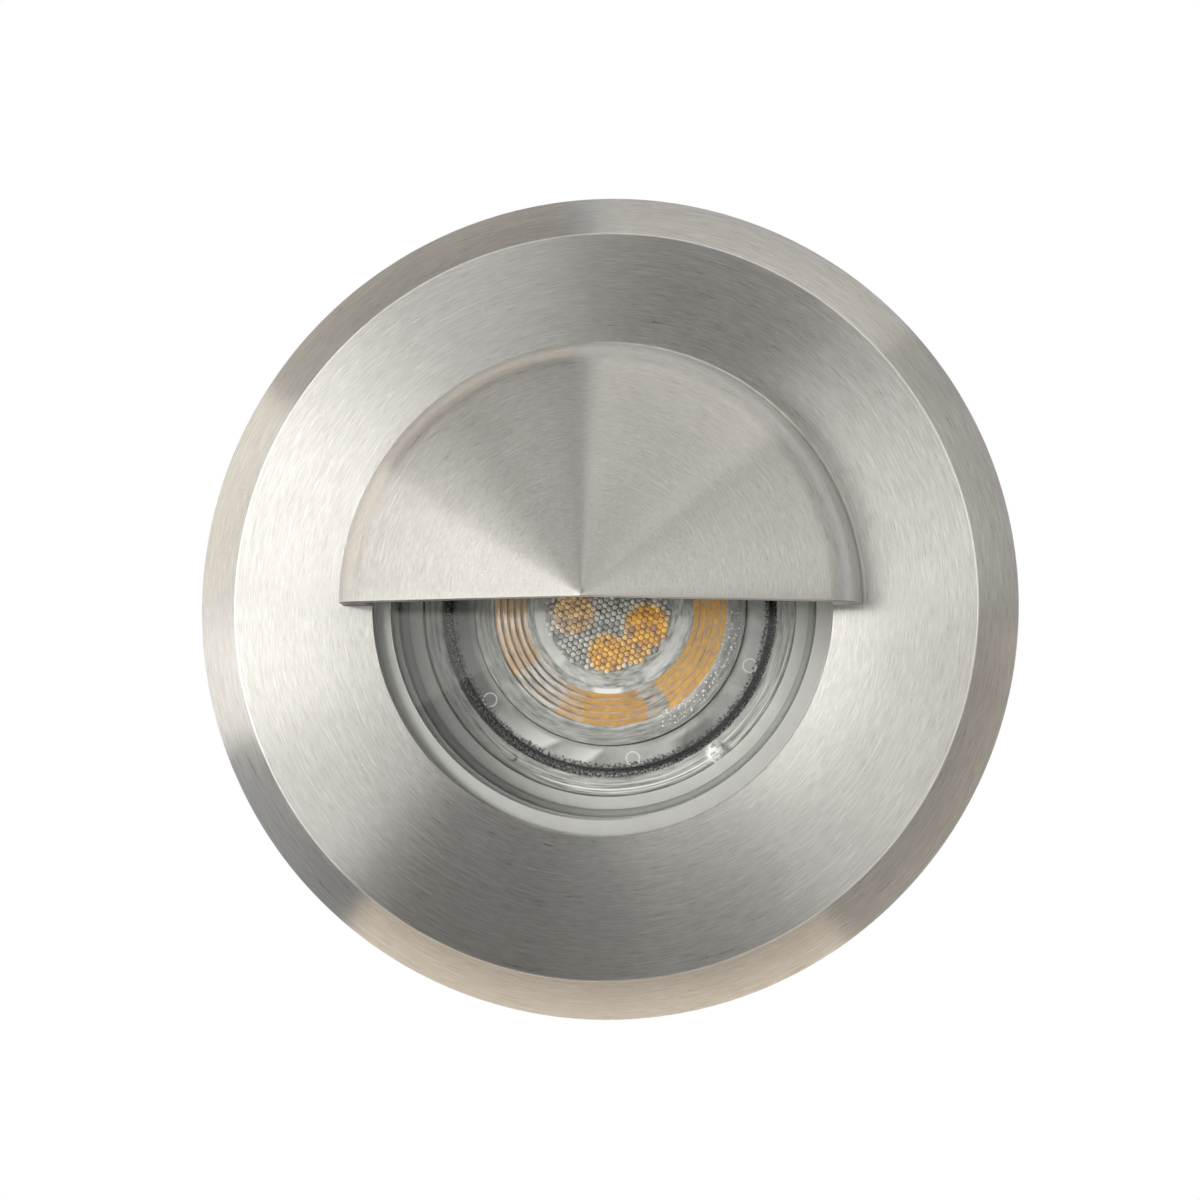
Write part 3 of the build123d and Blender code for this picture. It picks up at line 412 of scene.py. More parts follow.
def moulded_holder():
    """Smoky grey polycarbonate, half clear, so that its tone is cloudy: painted light makes it pale in
    sectors where the reflector behind shows through, and painted shade makes it dark in others, with small
    round marks of the ejector pins."""
    material, tree, shader = new_material("smoky_polycarbonate")
    radius, degrees, _ = polar(tree)
    clouds = grain(tree, 210.0, 4.0, 0.65)
    body = mix_colours(tree, stretch(tree, clouds, 0.36, 0.64), "#80817d", "#a6a7a3")
    out = maths(tree, "SUBTRACT", radius, 19.6)
    slant = maths(tree, "ADD", degrees, maths(tree, "MULTIPLY", out, 3.0))
    middle = band(tree, radius, 19.3, 20.5, 0.9)
    # Painted light: pale sectors at fixed angles, where the reflector behind shows through lit.
    for start, stop, strength in ((224.0, 246.0, 0.9), (249.0, 264.0, 0.85), (266.0, 300.0, 0.4),
                                  (308.0, 356.0, 0.3)):
        ramp = stretch(tree, slant, start, stop, 0.0, strength)
        edge = stretch(tree, slant, stop, stop + 2.5, 1.0, 0.0)
        glow = maths(tree, "MULTIPLY", maths(tree, "MULTIPLY", ramp, edge), middle)
        body = mix_colours(tree, glow, body, "#dcdcd8")
    # Painted shade: dark patches at fixed angles, the larger on the left side of the recess.
    for radii, angles, strength in (((20.0, 20.9), (300, 309), 0.75), ((19.6, 21.0), (176, 218), 0.7)):
        shade = patch(tree, radius, degrees, radii, angles, 0.9, 9.0, strength)
        body = mix_colours(tree, shade, body, "#514f4a")
    for angle in (217.0, 279.0, 338.0):
        pin = away_from(tree, *on_circle(angle, 20.3))
        mark = maths(tree, "MULTIPLY", band(tree, pin, 0.85, 0.95, 0.09), 0.6)
        body = mix_colours(tree, mark, body, "#ecece8")
    specks = grain(tree, 3000.0, 3.0, 0.75)
    reach = maths(tree, "MULTIPLY", band(tree, radius, 21.2, 22.0, 1.1), 0.3)
    black = stretch(tree, maths(tree, "ADD", reach, specks), 0.72, 0.82)
    body = mix_colours(tree, black, body, "#262623")
    tree.links.new(body, shader.inputs["Base Color"])
    shader.inputs["Roughness"].default_value = 0.38
    bump(tree, shader, grain(tree, 1500.0, 3.0), 0.2, 0.02)
    return material


AMBER_PATCHES = (           # start and stop in degrees, strength, and share of the bright yellow
    (176.0, 213.0, 0.72, 0.0),
    (214.0, 243.0, 0.2, 0.0),
    (244.0, 258.0, 0.7, 0.0),
    (256.0, 287.5, 1.0, 0.12),
    (288.0, 304.0, 0.18, 0.2),
    (304.5, 359.9, 1.0, 1.0),
    (0.0, 56.0, 0.9, 0.8),
    (90.0, 170.0, 0.8, 0.3),
)


def stepped_acrylic():
    """Clear moulded acrylic over the phosphor: the steps carry the amber of the chips in patches, which are
    made to glow a little as painted light, and the rest shows the grey of the reflector, with painted
    highlights:
    pale arcs where the steps catch light and sparkling specks outside."""
    material, tree, shader = new_material("stepped_clear_acrylic")
    radius, degrees, way = polar(tree)
    wobble = grain(tree, 300.0, 4.0, 0.65)
    uneven = maths(tree, "MULTIPLY", maths(tree, "SUBTRACT", wobble, 0.5), 12.0)
    shifted = maths(tree, "ADD", degrees, uneven)
    amber = bright = None
    for low, high, strength, yellow in AMBER_PATCHES:
        field = maths(tree, "MULTIPLY", band(tree, shifted, low, high, 4.0), strength)
        glow = maths(tree, "MULTIPLY", field, yellow)
        amber = field if amber is None else maths(tree, "MAXIMUM", amber, field)
        bright = glow if bright is None else maths(tree, "MAXIMUM", bright, glow)
    inward = maths(tree, "SUBTRACT", radius, STEPS_INNER)
    saw = maths(tree, "FRACT", maths(tree, "DIVIDE", inward, STEP_PITCH))
    lit = band(tree, saw, 0.2, 0.84, 0.2)
    steps = band(tree, radius, 11.5, 15.6, 0.2)
    mottled = ring_streaks(tree, radius, way, 14.0, 1.6, 3.0)
    share = stretch(tree, mottled, 0.34, 0.5, 0.7, 1.0)
    mask = amber
    for part in (steps, lit, share):
        mask = maths(tree, "MULTIPLY", mask, part)
    tone = stretch(tree, mottled, 0.3, 0.75)
    orange = mix_colours(tree, tone, "#a27434", "#c99a4c")
    yellow = mix_colours(tree, tone, "#bf8d3a", "#e2b052")
    phosphor = mix_colours(tree, bright, orange, yellow)
    lines = ring_streaks(tree, radius, way, 6.0, 2.6)
    grey = mix_colours(tree, stretch(tree, lines, 0.36, 0.64), "#84847f", "#cfcfcb")
    ridge = maths(tree, "MULTIPLY", band(tree, saw, -0.1, 0.1, 0.08), steps)
    ridge = maths(tree, "MULTIPLY", ridge, 0.25)
    grey = mix_colours(tree, ridge, grey, "#5f5f5b")
    # Painted highlights: pale arcs at fixed angles, where the steps catch light.
    for radii, angles, strength in (((9.0, 10.1), (184, 226), 0.85), ((10.9, 11.5), (262, 276), 1.0),
                                    ((9.2, 10.2), (226, 262), 0.4), ((9.3, 10.6), (300, 352), 0.45)):
        arc_light = patch(tree, radius, degrees, radii, angles, 0.35, 6.0, strength)
        grey = mix_colours(tree, arc_light, grey, "#f6f6f3")
    rim = maths(tree, "MULTIPLY", band(tree, radius, 16.4, 18.2, 0.5), 0.5)
    grey = mix_colours(tree, rim, grey, "#6a6a66")
    # Painted glints: white specks outside the steps, in one sector on the lower right.
    sparks = maths(tree, "GREATER_THAN", grain(tree, 2400.0, 3.0, 0.7), 0.6)
    field = patch(tree, radius, degrees, (15.6, 17.6), (296, 359), 0.3, 8.0)
    grey = mix_colours(tree, maths(tree, "MULTIPLY", sparks, field), grey, "#ffffff")
    colour = mix_colours(tree, mask, grey, phosphor)
    tree.links.new(colour, shader.inputs["Base Color"])
    # Painted glow: the amber patches emit a little light of their own.
    tree.links.new(colour, shader.inputs["Emission Color"])
    tree.links.new(maths(tree, "MULTIPLY", mask, 0.22), shader.inputs["Emission Strength"])
    shader.inputs["Roughness"].default_value = 0.25
    shader.inputs["IOR"].default_value = 1.49
    bump(tree, shader, wobble, 0.15, 0.05)
    return material


def honeycomb_acrylic():
    """The frosted middle of the optic: small hexagonal lenslets, amber over the chips and grey between."""
    material, tree, shader = new_material("honeycomb_frosted_acrylic")
    mask = None
    for x, z, size, strength in ((5.0, -2.3, 3.5, 1.0), (3.4, -5.2, 2.6, 0.85), (-0.3, -6.0, 3.1, 0.9),
                                 (-4.9, -0.5, 3.3, 0.6), (-3.0, 5.2, 3.0, 0.9), (3.4, 5.0, 3.0, 0.9)):
        near = stretch(tree, away_from(tree, x, z), size, size * 0.7, 0.0, strength)
        mask = near if mask is None else maths(tree, "MAXIMUM", mask, near)
    mottled = grain(tree, 900.0, 3.0, 0.65)
    share = stretch(tree, mottled, 0.36, 0.46, 0.45, 1.0)
    mask = maths(tree, "MULTIPLY", mask, share)
    phosphor = mix_colours(tree, stretch(tree, mottled, 0.38, 0.62), "#bd7a26", "#ffc850")
    grey = mix_colours(tree, stretch(tree, mottled, 0.36, 0.6), "#93938b", "#e6e6e0")
    colour = mix_colours(tree, mask, grey, phosphor)
    tree.links.new(colour, shader.inputs["Base Color"])
    # Painted glow: the amber lenslets emit a little light of their own.
    tree.links.new(colour, shader.inputs["Emission Color"])
    tree.links.new(maths(tree, "MULTIPLY", mask, 0.2), shader.inputs["Emission Strength"])
    shader.inputs["Roughness"].default_value = 0.3
    shader.inputs["IOR"].default_value = 1.49
    bump(tree, shader, grain(tree, 3000.0, 2.0), 0.1, 0.02)
    return material


steel = brushed_stainless()
glass = clear_glass()
moulded_glass = pressed_glass()
smoky = moulded_holder()
optic = stepped_acrylic()
honeycomb = honeycomb_acrylic()
silicone = plain_finish("grey_translucent_silicone", "#a8a8a3", "#989894", 0.45, scale=400.0, extra={
    "Subsurface Weight": 0.15, "Subsurface Scale": 0.002, "Coat Weight": 0.3, "Coat Roughness": 0.2})
rubber = plain_finish("black_moulded_rubber", "#2a2a2a", "#1d1d1d", 0.7, scale=1500.0)
cast = machined_aluminium("turned_cast_aluminium", "#a9a8a4", "#93928e", 0.42)
carrier_metal = machined_aluminium("chromated_turned_aluminium", "#bcbcb8", "#aaaaa6", 0.5, 0.2)
spring_steel = plain_finish("drawn_spring_steel", "#8b8d89", "#6d6f6b", 0.35, metallic=1.0, scale=1200.0)
phosphated = plain_finish("phosphated_spring_steel", "#8e908c", "#7b7d79", 0.55, scale=1200.0)
bright_steel = plain_finish("rolled_stainless_steel", "#bdbcb8", "#a19f9b", 0.3, metallic=1.0, scale=1200.0)
ceramic = plain_finish("white_steatite_ceramic", "#e6e3da", "#d5d2c8", 0.55, scale=1100.0)
nickel = plain_finish("nickel_plated_brass", "#b3aea1", "#a19c8f", 0.3, metallic=1.0, scale=1400.0)
sleeve = plain_finish("silicone_lead_insulation", "#d9d8d2", "#c5c4bd", 0.5, scale=900.0)
nylon = plain_finish("natural_nylon", "#dcdad2", "#cac8bf", 0.4, scale=800.0, extra={
    "Subsurface Weight": 0.2, "Subsurface Scale": 0.002})
black_plastic = plain_finish("black_extruded_pvc", "#2c2c2c", "#202020", 0.45, scale=900.0)
laminate = plain_finish("white_solder_mask", "#eeeeea", "#e0e0db", 0.35, scale=700.0)
phosphor = plain_finish("amber_phosphor", "#e9b23c", "#d39a2a", 0.4, scale=1500.0, extra={
    "Coat Weight": 0.5, "Coat Roughness": 0.1})

carried_over = {
    "wall_gasket": rubber, "rear_cap_seal": rubber, "gland_sealing_washer": rubber, "gland_seal": rubber,
    "housing_barrel": cast, "rear_cap": cast, "lamp_heat_sink": cast,
    "fascia_screws": bright_steel, "rear_cap_screws": bright_steel, "clip_rivets": bright_steel,
    "terminal_screws": bright_steel, "terminal_block_screw": bright_steel,
    "clip_bracket_left": bright_steel, "clip_bracket_right": bright_steel,
    "clip_pin_left": bright_steel, "clip_pin_right": bright_steel,
    "clip_arm_left": bright_steel, "clip_arm_right": bright_steel,
    "clip_spring_left": spring_steel, "clip_spring_right": spring_steel, "lamp_circlip": phosphated,
    "lamp_led_board": laminate, "lamp_led_chips": phosphor,
    "lamp_base": ceramic, "lampholder": ceramic,
    "lamp_pins": nickel, "lampholder_contacts": nickel, "terminal_tubes": nickel,
    "gland_body": nickel, "gland_nut": nickel,
    "lamp_lead_left": sleeve, "lamp_lead_right": sleeve,
    "terminal_block": nylon, "gland_slip_ring": nylon,
    "clip_pad_left": black_plastic, "clip_pad_right": black_plastic,
}
for name, material in carried_over.items():
    data = nodes[name].data
    data.materials.clear()
    data.materials.append(material)


# ---------------------------------------------------------------- fascia with its eyelid
def dome_outline():
    """The eyelid's closed outline, outside and inside, standing on the face."""
    tilt = math.radians(18)
    inner_tilt = math.radians(20)
    apex = (0.0, -24.0)
    cone_radius = 30.4
    cone_edge = (cone_radius, apex[1] + cone_radius * math.tan(tilt))
    wall_top = (34.0, -10.5)
    normal = Vector((-math.sin(tilt), math.cos(tilt)))
    chord = Vector(wall_top) - Vector(cone_edge)
    radius = chord.length_squared / (2 * chord.dot(normal))
    centre = Vector(cone_edge) + normal * radius
    start = math.degrees(math.atan2(cone_edge[1] - centre.y, cone_edge[0] - centre.x))
    stop = math.degrees(math.atan2(wall_top[1] - centre.y, wall_top[0] - centre.x))
    shoulder = arc(centre, radius, start, stop, 16)
    outside = [apex]
    for share in (0.03, 0.08, 0.2, 0.4, 0.6, 0.8):
        outside.append((cone_radius * share, apex[1] + (cone_edge[1] - apex[1]) * share))
    toe = arc((35.1, -4.5), 0.5, 180, 90, 4)
    foot = FACE_FRONT + 0.1             # a little inside the face, so that the two join
    inner_top = (OPENING, -10.0)
    inner_apex = (0.0, inner_top[1] - OPENING * math.tan(inner_tilt))
    wall = [(34.3, -7.5)]
    return outside + shoulder + wall + toe + [(35.1, foot), (OPENING, foot), inner_top, inner_apex]


def eyelid_fascia():
    """Flange with its bevel and stepped opening, and the half dome over it."""
    flange = eased([
        (BEVEL_EDGE, FACE_FRONT), (FLANGE, -1.2), (FLANGE, 0.0), (52.35, 0.0), (52.35, -1.0), (43.35, -1.0),
        (43.35, 0.0), (33.2, 0.0), (33.2, -3.0), (OPENING, -3.0), (OPENING, FACE_FRONT), (40.0, FACE_FRONT),
    ], 0.18)
    ring = turned_mesh(flange)
    dome = turned_mesh(dome_outline())
    lower_edge = (0, 0, -0.15 * MM)
    cut = bmesh.ops.bisect_plane(
        dome, geom=dome.verts[:] + dome.edges[:] + dome.faces[:], plane_co=lower_edge, plane_no=(0, 0, -1),
        clear_outer=True)
    edges = [e for e in cut["geom_cut"] if isinstance(e, bmesh.types.BMEdge)]
    bmesh.ops.holes_fill(dome, edges=edges, sides=0)
    bmesh.ops.triangulate(dome, faces=[f for f in dome.faces if len(f.verts) > 4])
    bmesh.ops.recalc_face_normals(dome, faces=dome.faces)
    whole = bmesh.new()
    for part in (ring, dome):
        scratch = bpy.data.meshes.new("scratch")
        part.to_mesh(scratch)
        part.free()
        whole.from_mesh(scratch)
        bpy.data.meshes.remove(scratch)
    return finish_piece("turned_fascia", whole, steel, ["eyelid_fascia"])


eyelid_fascia()


# ---------------------------------------------------------------- glass and gasket
glass_disc = turned_mesh(eased([
    (0, -2.2), (31.8, -2.2), (32.2, -1.8), (32.2, 1.4), (31.8, 1.8), (0, 1.8),
], 0.1))
finish_piece("window_glass", glass_disc, glass, ["front_glass"])

gasket = turned_mesh(eased([
    (28.6, -2.5), (30.5, -2.5), (30.9, -3.0), (33.1, -3.0), (33.1, 2.6), (28.6, 2.6), (28.6, 1.8),
    (32.25, 1.8), (32.25, -2.2), (28.6, -2.2),
], 0.25))
finish_piece("channel_gasket", gasket, silicone, ["glass_gasket"])

carrier = turned_mesh(eased([
    (25.25, 5.4), (28.1, 5.4), (28.1, 10.4), (23.9, 10.4), (23.9, 8.9), (25.25, 8.9),
], 0.2))
finish_piece("stepped_carrier", carrier, carrier_metal, ["lamp_carrier_ring"])


# ---------------------------------------------------------------- lamp
def lug(mesh, degrees, reach, radius, height):
    """A low rounded lump on the front of the glass rim: a mould's gate mark."""
    x, z = on_circle(degrees, reach)
    place = Matrix.Translation((x * MM, RIM_FRONT * MM, z * MM))
    before = set(mesh.verts)
    bmesh.ops.create_uvsphere(mesh, u_segments=24, v_segments=12, radius=radius * MM, matrix=place)
    for vertex in set(mesh.verts) - before:
        vertex.co.y = RIM_FRONT * MM + (vertex.co.y - RIM_FRONT * MM) * height / radius
    for face in mesh.faces:
        face.smooth = True


def lamp_rim():
    """The pressed glass cup, with its gate marks."""
    rim = [(22.6, RIM_FRONT), (25.15, RIM_FRONT), (25.15, 8.9), (23.4, 8.9)]
    outer = [(23.0, 11.0), (22.2, 14.0), (21.0, 18.0), (19.0, 22.0), (16.2, 26.5), (13.2, 30.5),
             (10.6, 33.3)]
    neck = [(10.6, 38.3), (9.0, 38.3), (9.0, 33.3)]
    inner = [(11.6, 30.0), (14.6, 26.0), (17.4, 21.6), (19.4, 17.6), (20.6, 13.8), (21.4, 11.0),
             (21.8, 9.7)]
    mesh = turned_mesh(eased(rim + outer + neck + inner + [(22.6, 9.7)], 0.3))
    lug(mesh, *GATE_MARK, 1.5, 1.1)
    lug(mesh, 237.5, 23.8, 0.5, 0.5)
    return finish_piece("pressed_cup", mesh, moulded_glass, ["lamp_glass_cup"])


def holder_ring():
    """The grey ring round the lens."""
    mesh = turned_mesh(eased([(18.4, 7.9), (21.4, 7.9), (21.4, 9.3), (18.4, 9.3)], 0.15))
    return finish_piece("lens_holder_ring", mesh, smoky, ["lamp_lens_holder"])


def stepped_lens():
    """The optic's stepped rings and its body."""
    front, rim = 7.5, 18.3
    groove = front + 0.55
    middle = front + 0.6
    outline = [(rim, front), (STEPS_OUTER, front)]
    for step in range(STEP_COUNT):
        outer = STEPS_OUTER - step * STEP_PITCH
        outline += [(outer, groove), (outer - STEP_PITCH, front)]
    outline += [(8.6, groove), (8.4, middle), (0.0, middle), (0.0, 17.9), (5.2, 17.9), (5.2, 20.5),
                (8.0, 20.5), (16.2, front + 3.6), (rim, front + 1.8)]
    mesh = turned_mesh(eased(outline, 0.06, 2))
    return finish_piece("stepped_optic", mesh, optic, ["lamp_lens"])


def honeycomb_tree():
    """Geometry Nodes: low hexagonal lenslets on a triangular grid inside a circle, on a slightly domed
    disc."""
    tree = bpy.data.node_groups.new("lenslet_grid", "GeometryNodeTree")
    sockets = {}
    for label, kind in (("Pitch", "NodeSocketFloat"), ("Field radius", "NodeSocketFloat"),
                        ("Lenslet height", "NodeSocketFloat"), ("Crown", "NodeSocketFloat"),
                        ("Finish", "NodeSocketMaterial")):
        sockets[label] = tree.interface.new_socket(label, in_out="INPUT", socket_type=kind).identifier
    tree.interface.new_socket("Geometry", in_out="OUTPUT", socket_type="NodeSocketGeometry")
    given = add_node(tree, "NodeGroupInput")
    count = 25              # rows and columns, enough to cover the field
    rows = maths(tree, "MULTIPLY", given.outputs["Pitch"], math.sqrt(3) / 2)
    wide = maths(tree, "MULTIPLY", given.outputs["Pitch"], float(count - 1))
    tall = maths(tree, "MULTIPLY", rows, float(count - 1))
    grid = add_node(tree, "GeometryNodeMeshGrid", {"Vertices X": count, "Vertices Y": count},
                    {"Size X": wide, "Size Y": tall})
    place = add_node(tree, "GeometryNodeInputPosition")
    parts = add_node(tree, "ShaderNodeSeparateXYZ", links={0: place.outputs[0]})
    row = maths(tree, "ROUND", maths(tree, "DIVIDE", parts.outputs[1], rows))
    odd = maths(tree, "MULTIPLY", maths(tree, "PINGPONG", row, 1.0), 0.5)
    across = maths(tree, "ADD", parts.outputs[0], maths(tree, "MULTIPLY", odd, given.outputs["Pitch"]))
    reach = maths(tree, "SQRT", maths(tree, "ADD", maths(tree, "POWER", across, 2.0),
                                      maths(tree, "POWER", parts.outputs[1], 2.0)))
    share = maths(tree, "DIVIDE", reach, given.outputs["Field radius"])
    rise = maths(tree, "MULTIPLY", maths(tree, "SUBTRACT", 1.0, maths(tree, "POWER", share, 2.0)),
                 given.outputs["Crown"])
    spot = add_node(tree, "ShaderNodeCombineXYZ", links={0: across, 1: parts.outputs[1], 2: rise})
    moved = add_node(tree, "GeometryNodeSetPosition", links={"Geometry": grid.outputs[0],
                                                             "Position": spot.outputs[0]})
    outside = add_node(tree, "FunctionNodeCompare", {"data_type": "FLOAT", "operation": "GREATER_THAN"},
                       {0: share})
    outside.inputs[1].default_value = 1.0
    kept = add_node(tree, "GeometryNodeDeleteGeometry", {"domain": "POINT"},
                    {"Geometry": moved.outputs[0], "Selection": outside.outputs[0]})
    base = maths(tree, "MULTIPLY", given.outputs["Pitch"], 0.56)
    cap = maths(tree, "MULTIPLY", given.outputs["Pitch"], 0.46)
    tier = add_node(tree, "GeometryNodeMeshCone", {"Vertices": 6, "Side Segments": 1, "Fill Segments": 1},
                    {"Radius Top": cap, "Radius Bottom": base, "Depth": given.outputs["Lenslet height"]})
    turned = add_node(tree, "GeometryNodeTransform", {"Rotation": (0, 0, math.radians(30))},
                      {"Geometry": tier.outputs[0]})
    placed = add_node(tree, "GeometryNodeInstanceOnPoints", links={
        "Points": kept.outputs[0], "Instance": turned.outputs[0]})
    real = add_node(tree, "GeometryNodeRealizeInstances", links={0: placed.outputs[0]})
    smooth = add_node(tree, "GeometryNodeSetShadeSmooth", {"Shade Smooth": True},
                      {"Geometry": real.outputs[0]})
    painted = add_node(tree, "GeometryNodeSetMaterial", links={
        "Geometry": smooth.outputs[0], "Material": given.outputs["Finish"]})
    add_node(tree, "NodeGroupOutput", links={0: painted.outputs[0]})
    return tree, sockets


def honeycomb_field():
    """The lenslets in the middle of the optic."""
    tree, sockets = honeycomb_tree()
    holder = bpy.data.objects.new("lenslets_live", bpy.data.meshes.new("lenslets_live"))
    bpy.context.scene.collection.objects.link(holder)
    modifier = holder.modifiers.new("lenslets", "NODES")
    modifier.node_group = tree
    values = {"Pitch": 0.82 * MM, "Field radius": 8.3 * MM, "Lenslet height": 0.13 * MM, "Crown": 0.5 * MM,
              "Finish": honeycomb}
    for label, value in values.items():
        modifier[sockets[label]] = value
    evaluated = holder.evaluated_get(bpy.context.evaluated_depsgraph_get())
    data = bpy.data.meshes.new_from_object(evaluated)
    bpy.data.objects.remove(holder)
    stand = Matrix.Translation((0, 8.05 * MM, 0)) @ Matrix.Rotation(math.radians(90), 4, "X")
    data.transform(stand @ Matrix.Rotation(math.radians(18), 4, "Z"))
    piece = bpy.data.objects.new("honeycomb_lenslets", data)
    bpy.context.scene.collection.objects.link(piece)
    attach(piece, "light_body")
    return piece


lamp_rim()
holder_ring()
stepped_lens()
honeycomb_field()


# ---------------------------------------------------------------- floor, light and camera
def stage_sheet(name, corners, material, faces=None, seen=False):
    """A sheet of the studio, from its corners in metres."""
    data = bpy.data.meshes.new(name)
    data.from_pydata(corners, [], faces or [tuple(range(len(corners)))])
    data.materials.append(material)
    sheet = bpy.data.objects.new(name, data)
    bpy.context.scene.collection.objects.link(sheet)
    if not seen:
        sheet.visible_camera = False
        sheet.visible_shadow = False
        sheet.visible_diffuse = False
        sheet.visible_transmission = False
    return sheet


def pale_floor():
    """A matt white floor under the light, which ends before the photograph's view reaches it."""
    material, _, shader = new_material("white_paper_floor")
    shader.inputs["Base Color"].default_value = linear("#f4f4f2")
    shader.inputs["Roughness"].default_value = 0.9
    low = -0.12
    corners = [(-0.6, -0.6, low), (0.6, -0.6, low), (0.6, 0.24, low), (-0.6, 0.24, low)]
    sheet = stage_sheet("floor", corners, material, seen=True)
    sheet.visible_glossy = False
    return sheet


def card_material(name, code, strength):
    """Lit or dull card that the metal sees as a light or dark patch."""
    material = bpy.data.materials.new(name)
    material.use_nodes = True
    tree = material.node_tree
    tree.nodes.clear()
    glow = add_node(tree, "ShaderNodeEmission", {"Color": linear(code), "Strength": strength})
    add_node(tree, "ShaderNodeOutputMaterial", links={"Surface": glow.outputs[0]})
    return material


MIRROR_X, MIRROR_Z = -0.123, 0.063      # where the flat face mirrors the camera, as tangents of the angle


def card(name, azimuths, spreads, code, strength):
    """A card on a sphere of 1 m round the light, in front of it. Azimuths are degrees anticlockwise from
    +X, about the point that the flat face mirrors to the camera; spreads are tangents of the angle from
    it."""
    across = max(1, round((azimuths[1] - azimuths[0]) / 6))
    deep = 6
    corners = []
    for row in range(deep + 1):
        spread = spreads[0] * (spreads[1] / spreads[0]) ** (row / deep)
        for column in range(across + 1):
            angle = math.radians(azimuths[0] + (azimuths[1] - azimuths[0]) * column / across)
            way = Vector((MIRROR_X + spread * math.cos(angle), -1.0, MIRROR_Z + spread * math.sin(angle)))
            corners.append(tuple(way.normalized()))
    faces = []
    for row in range(deep):
        for column in range(across):
            first = row * (across + 1) + column
            faces.append((first, first + 1, first + across + 2, first + across + 1))
    return stage_sheet(name, corners, card_material(name + "_card", code, strength), faces)


def side_strip():
    """A cream strip level with the face, on the left and above, for the eyelid's steep shoulder to
    mirror."""
    steps = 10
    corners = []
    for y in (-0.12, 0.3):
        for step in range(steps + 1):
            angle = math.radians(102 + 72 * step / steps)
            corners.append((math.cos(angle), y, math.sin(angle)))
    faces = [(i, i + 1, i + steps + 2, i + steps + 1) for i in range(steps)]
    return stage_sheet("side_strip", corners, card_material("side_strip_card", "#fff2e0", 1.35), faces)


def soft_light(name, place, size, power):
    """A softbox aimed at the light; the cards carry its mirror image, so it isn't seen in the metal."""
    data = bpy.data.lights.new(name, "AREA")
    data.shape = "RECTANGLE"
    data.size, data.size_y = size
    data.energy = power
    lamp = bpy.data.objects.new(name, data)
    bpy.context.scene.collection.objects.link(lamp)
    lamp.location = place
    lamp.rotation_euler = (-Vector(place)).to_track_quat("-Z", "Y").to_euler()
    lamp.visible_camera = False
    lamp.visible_glossy = False
    return lamp


def studio_world():
    """White to the camera, to gloss and through glass, and a softer level for the light on things."""
    world = bpy.data.worlds.new("studio")
    bpy.context.scene.world = world
    world.use_nodes = True
    tree = world.node_tree
    tree.nodes.clear()
    rays = add_node(tree, "ShaderNodeLightPath")
    seen = maths(tree, "MAXIMUM", rays.outputs["Is Camera Ray"], rays.outputs["Is Glossy Ray"])
    seen = maths(tree, "MAXIMUM", seen, rays.outputs["Is Transmission Ray"])
    fill = add_node(tree, "ShaderNodeBackground", {"Color": linear("#f4f5f6"), "Strength": 0.62})
    white = add_node(tree, "ShaderNodeBackground", {"Color": (1, 1, 1, 1), "Strength": 1.0})
    both = add_node(tree, "ShaderNodeMixShader", links={0: seen, 1: fill.outputs[0], 2: white.outputs[0]})
    add_node(tree, "ShaderNodeOutputWorld", links={"Surface": both.outputs[0]})


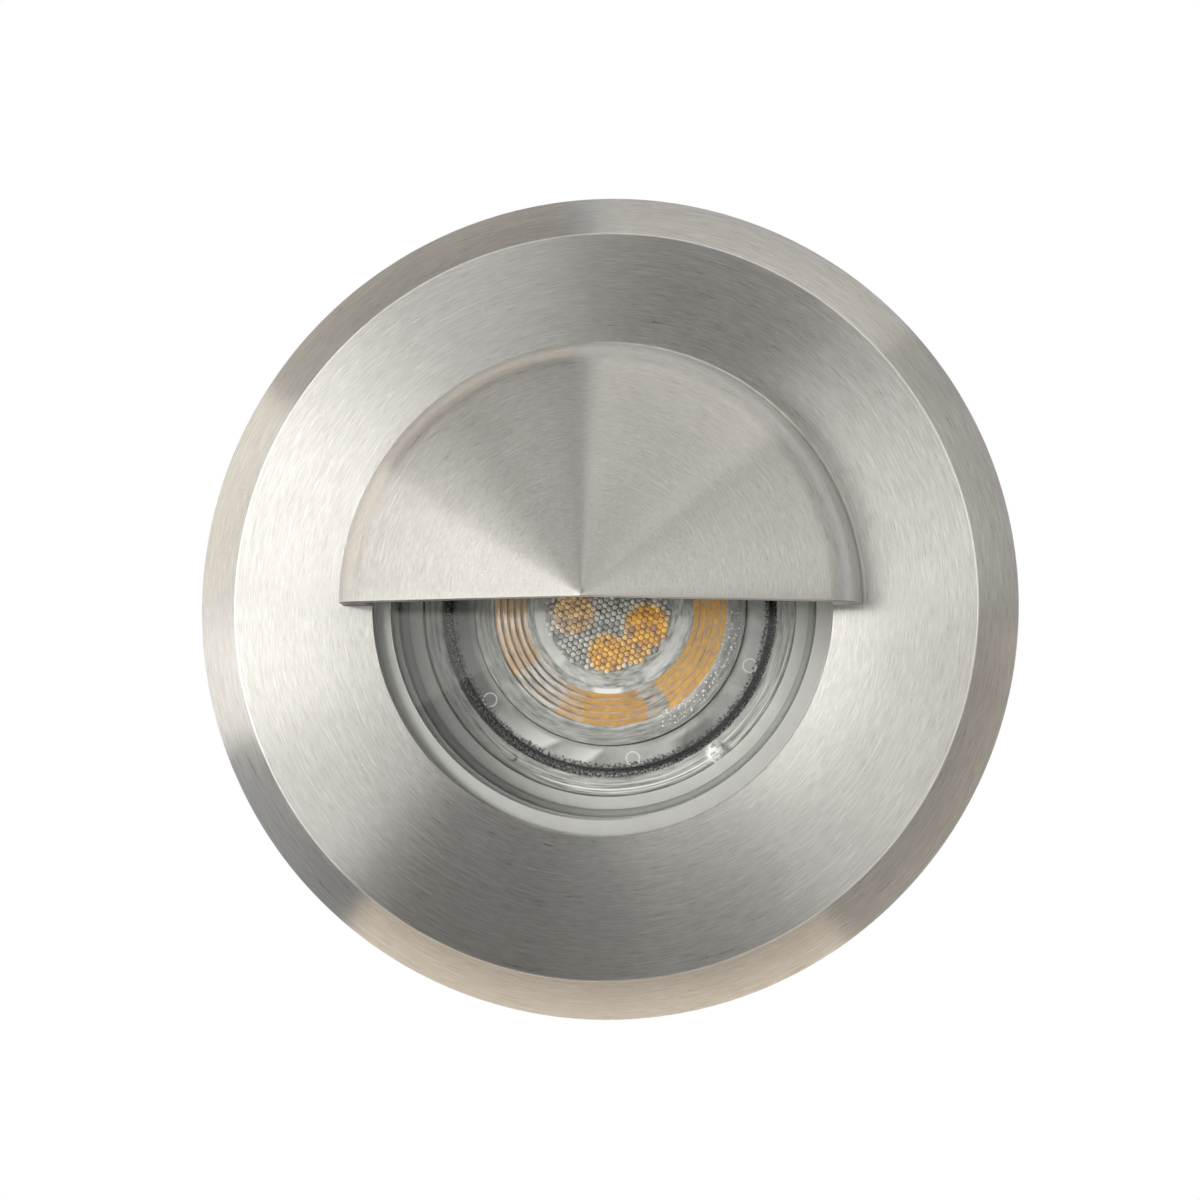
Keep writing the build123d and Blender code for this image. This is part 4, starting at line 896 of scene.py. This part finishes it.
CARDS = (                   # name, azimuths, spreads, colour and strength
    ("lower_flag", (226, 304), (0.02, 2.3), "#2a2a2f", 1.0),
    ("lower_far_card", (226, 304), (2.3, 8.0), "#ffecd2", 3.0),
    ("right_near_flag", (304, 360), (0.02, 0.27), "#9c9c9c", 1.0),
    ("right_near_card", (0, 42), (0.02, 0.27), "#fffdf8", 0.7),
    ("right_low_card", (304, 330), (0.27, 0.62), "#fffdf8", 0.8),
    ("right_middle_card", (330, 360), (0.27, 0.62), "#fffdf8", 0.55),
    ("right_low_flag", (304, 360), (0.62, 2.3), "#4a4844", 1.0),
    ("right_low_far_card", (304, 360), (2.3, 8.0), "#ffecd2", 1.0),
    ("right_card", (0, 42), (0.27, 0.62), "#fffdf8", 0.68),
    ("right_wide_card", (0, 45), (0.62, 1.1), "#fffdf8", 1.15),
    ("right_far_card", (0, 45), (1.1, 2.3), "#fff4e4", 0.4),
    ("upper_flag", (42, 94), (0.02, 0.74), "#141418", 1.0),
    ("upper_card", (45, 94), (0.74, 1.1), "#fffefa", 2.25),
    ("upper_far_card", (45, 94), (1.1, 2.3), "#fff6ea", 1.15),
    ("high_rear_flag", (0, 94), (2.3, 8.0), "#3a3834", 1.0),
    ("upper_left_near_card", (94, 122), (0.02, 0.27), "#fffdf8", 0.45),
    ("upper_left_card", (94, 122), (0.27, 0.62), "#fffdf8", 2.1),
    ("side_near_flag", (94, 122), (0.62, 1.1), "#4a4a4a", 1.0),
    ("side_flag", (94, 148), (1.1, 3.2), "#202024", 1.0),
    ("side_far_card", (100, 148), (3.6, 8.0), "#ffeed8", 0.25),
    ("side_edge_flag", (122, 180), (0.62, 1.1), "#26262a", 1.0),
    ("left_near_card", (122, 150), (0.02, 0.27), "#fffdf8", 3.0),
    ("left_dim_edge", (122, 131), (0.27, 0.62), "#fffdf8", 1.3),
    ("left_soft_edge", (131, 140), (0.27, 0.62), "#fffdf8", 2.3),
    ("left_bright_edge", (140, 150), (0.27, 0.62), "#fffdf8", 3.0),
    ("left_softbox", (150, 180), (0.02, 0.62), "#fffdf8", 4.15),
    ("left_far_flag", (148, 226), (1.1, 2.3), "#26262a", 1.0),
    ("left_far_card", (148, 196), (2.3, 8.0), "#fff8ec", 2.3),
    ("left_low_near_card", (180, 208), (0.02, 0.27), "#fffdf8", 1.2),
    ("left_near_flag", (208, 226), (0.02, 0.27), "#26262a", 1.0),
    ("left_low_softbox", (180, 226), (0.27, 0.62), "#fffdf8", 3.15),
    ("left_wide_card", (180, 200), (0.62, 1.1), "#fffdf8", 2.9),
    ("corner_flag", (200, 226), (0.62, 1.1), "#26262a", 1.0),
    ("corner_far_flag", (196, 226), (2.3, 8.0), "#26262a", 1.0),
)
pale_floor()
studio_world()
side_strip()
for name, azimuths, spreads, code, strength in CARDS:
    card(name, azimuths, spreads, code, strength)
soft_light("key_softbox", (-0.74, -0.66, 0.14), (0.4, 0.4), 12.5)


PHOTO_WIDTH = 1200          # pixels
PIXELS_PER_MM = 7.469       # at the face
SENSOR = 36.0               # millimetres


def photo_camera():
    """The camera stands a little to the right of the light's axis and below it, and looks at the face. The
    frame is nudged by a few pixels and rolled a little, as the photograph is."""
    data = bpy.data.cameras.new("camera")
    data.sensor_width = SENSOR
    camera = bpy.data.objects.new("camera", data)
    bpy.context.scene.collection.objects.link(camera)
    place = Vector((46.0, -374.0, -23.5)) * MM
    target = Vector((0.0, -0.6, 0.0)) * MM
    distance = (target - place).length
    data.lens = PIXELS_PER_MM / MM * distance / PHOTO_WIDTH * SENSOR
    aim = (target - place).normalized()
    turn = aim.to_track_quat("-Z", "Y").to_matrix().to_4x4()
    pixel = SENSOR / PHOTO_WIDTH / data.lens        # tangent of the angle across one pixel
    nudge = Matrix.Rotation(math.atan(3.6 * pixel), 4, "Y")
    tip = Matrix.Rotation(math.atan(5.7 * pixel), 4, "X")
    roll = Matrix.Rotation(math.radians(0.3), 4, "Z")
    camera.matrix_world = Matrix.Translation(place) @ turn @ nudge @ tip @ roll
    bpy.context.scene.camera = camera


photo_camera()
bpy.context.scene.view_settings.view_transform = "Standard"
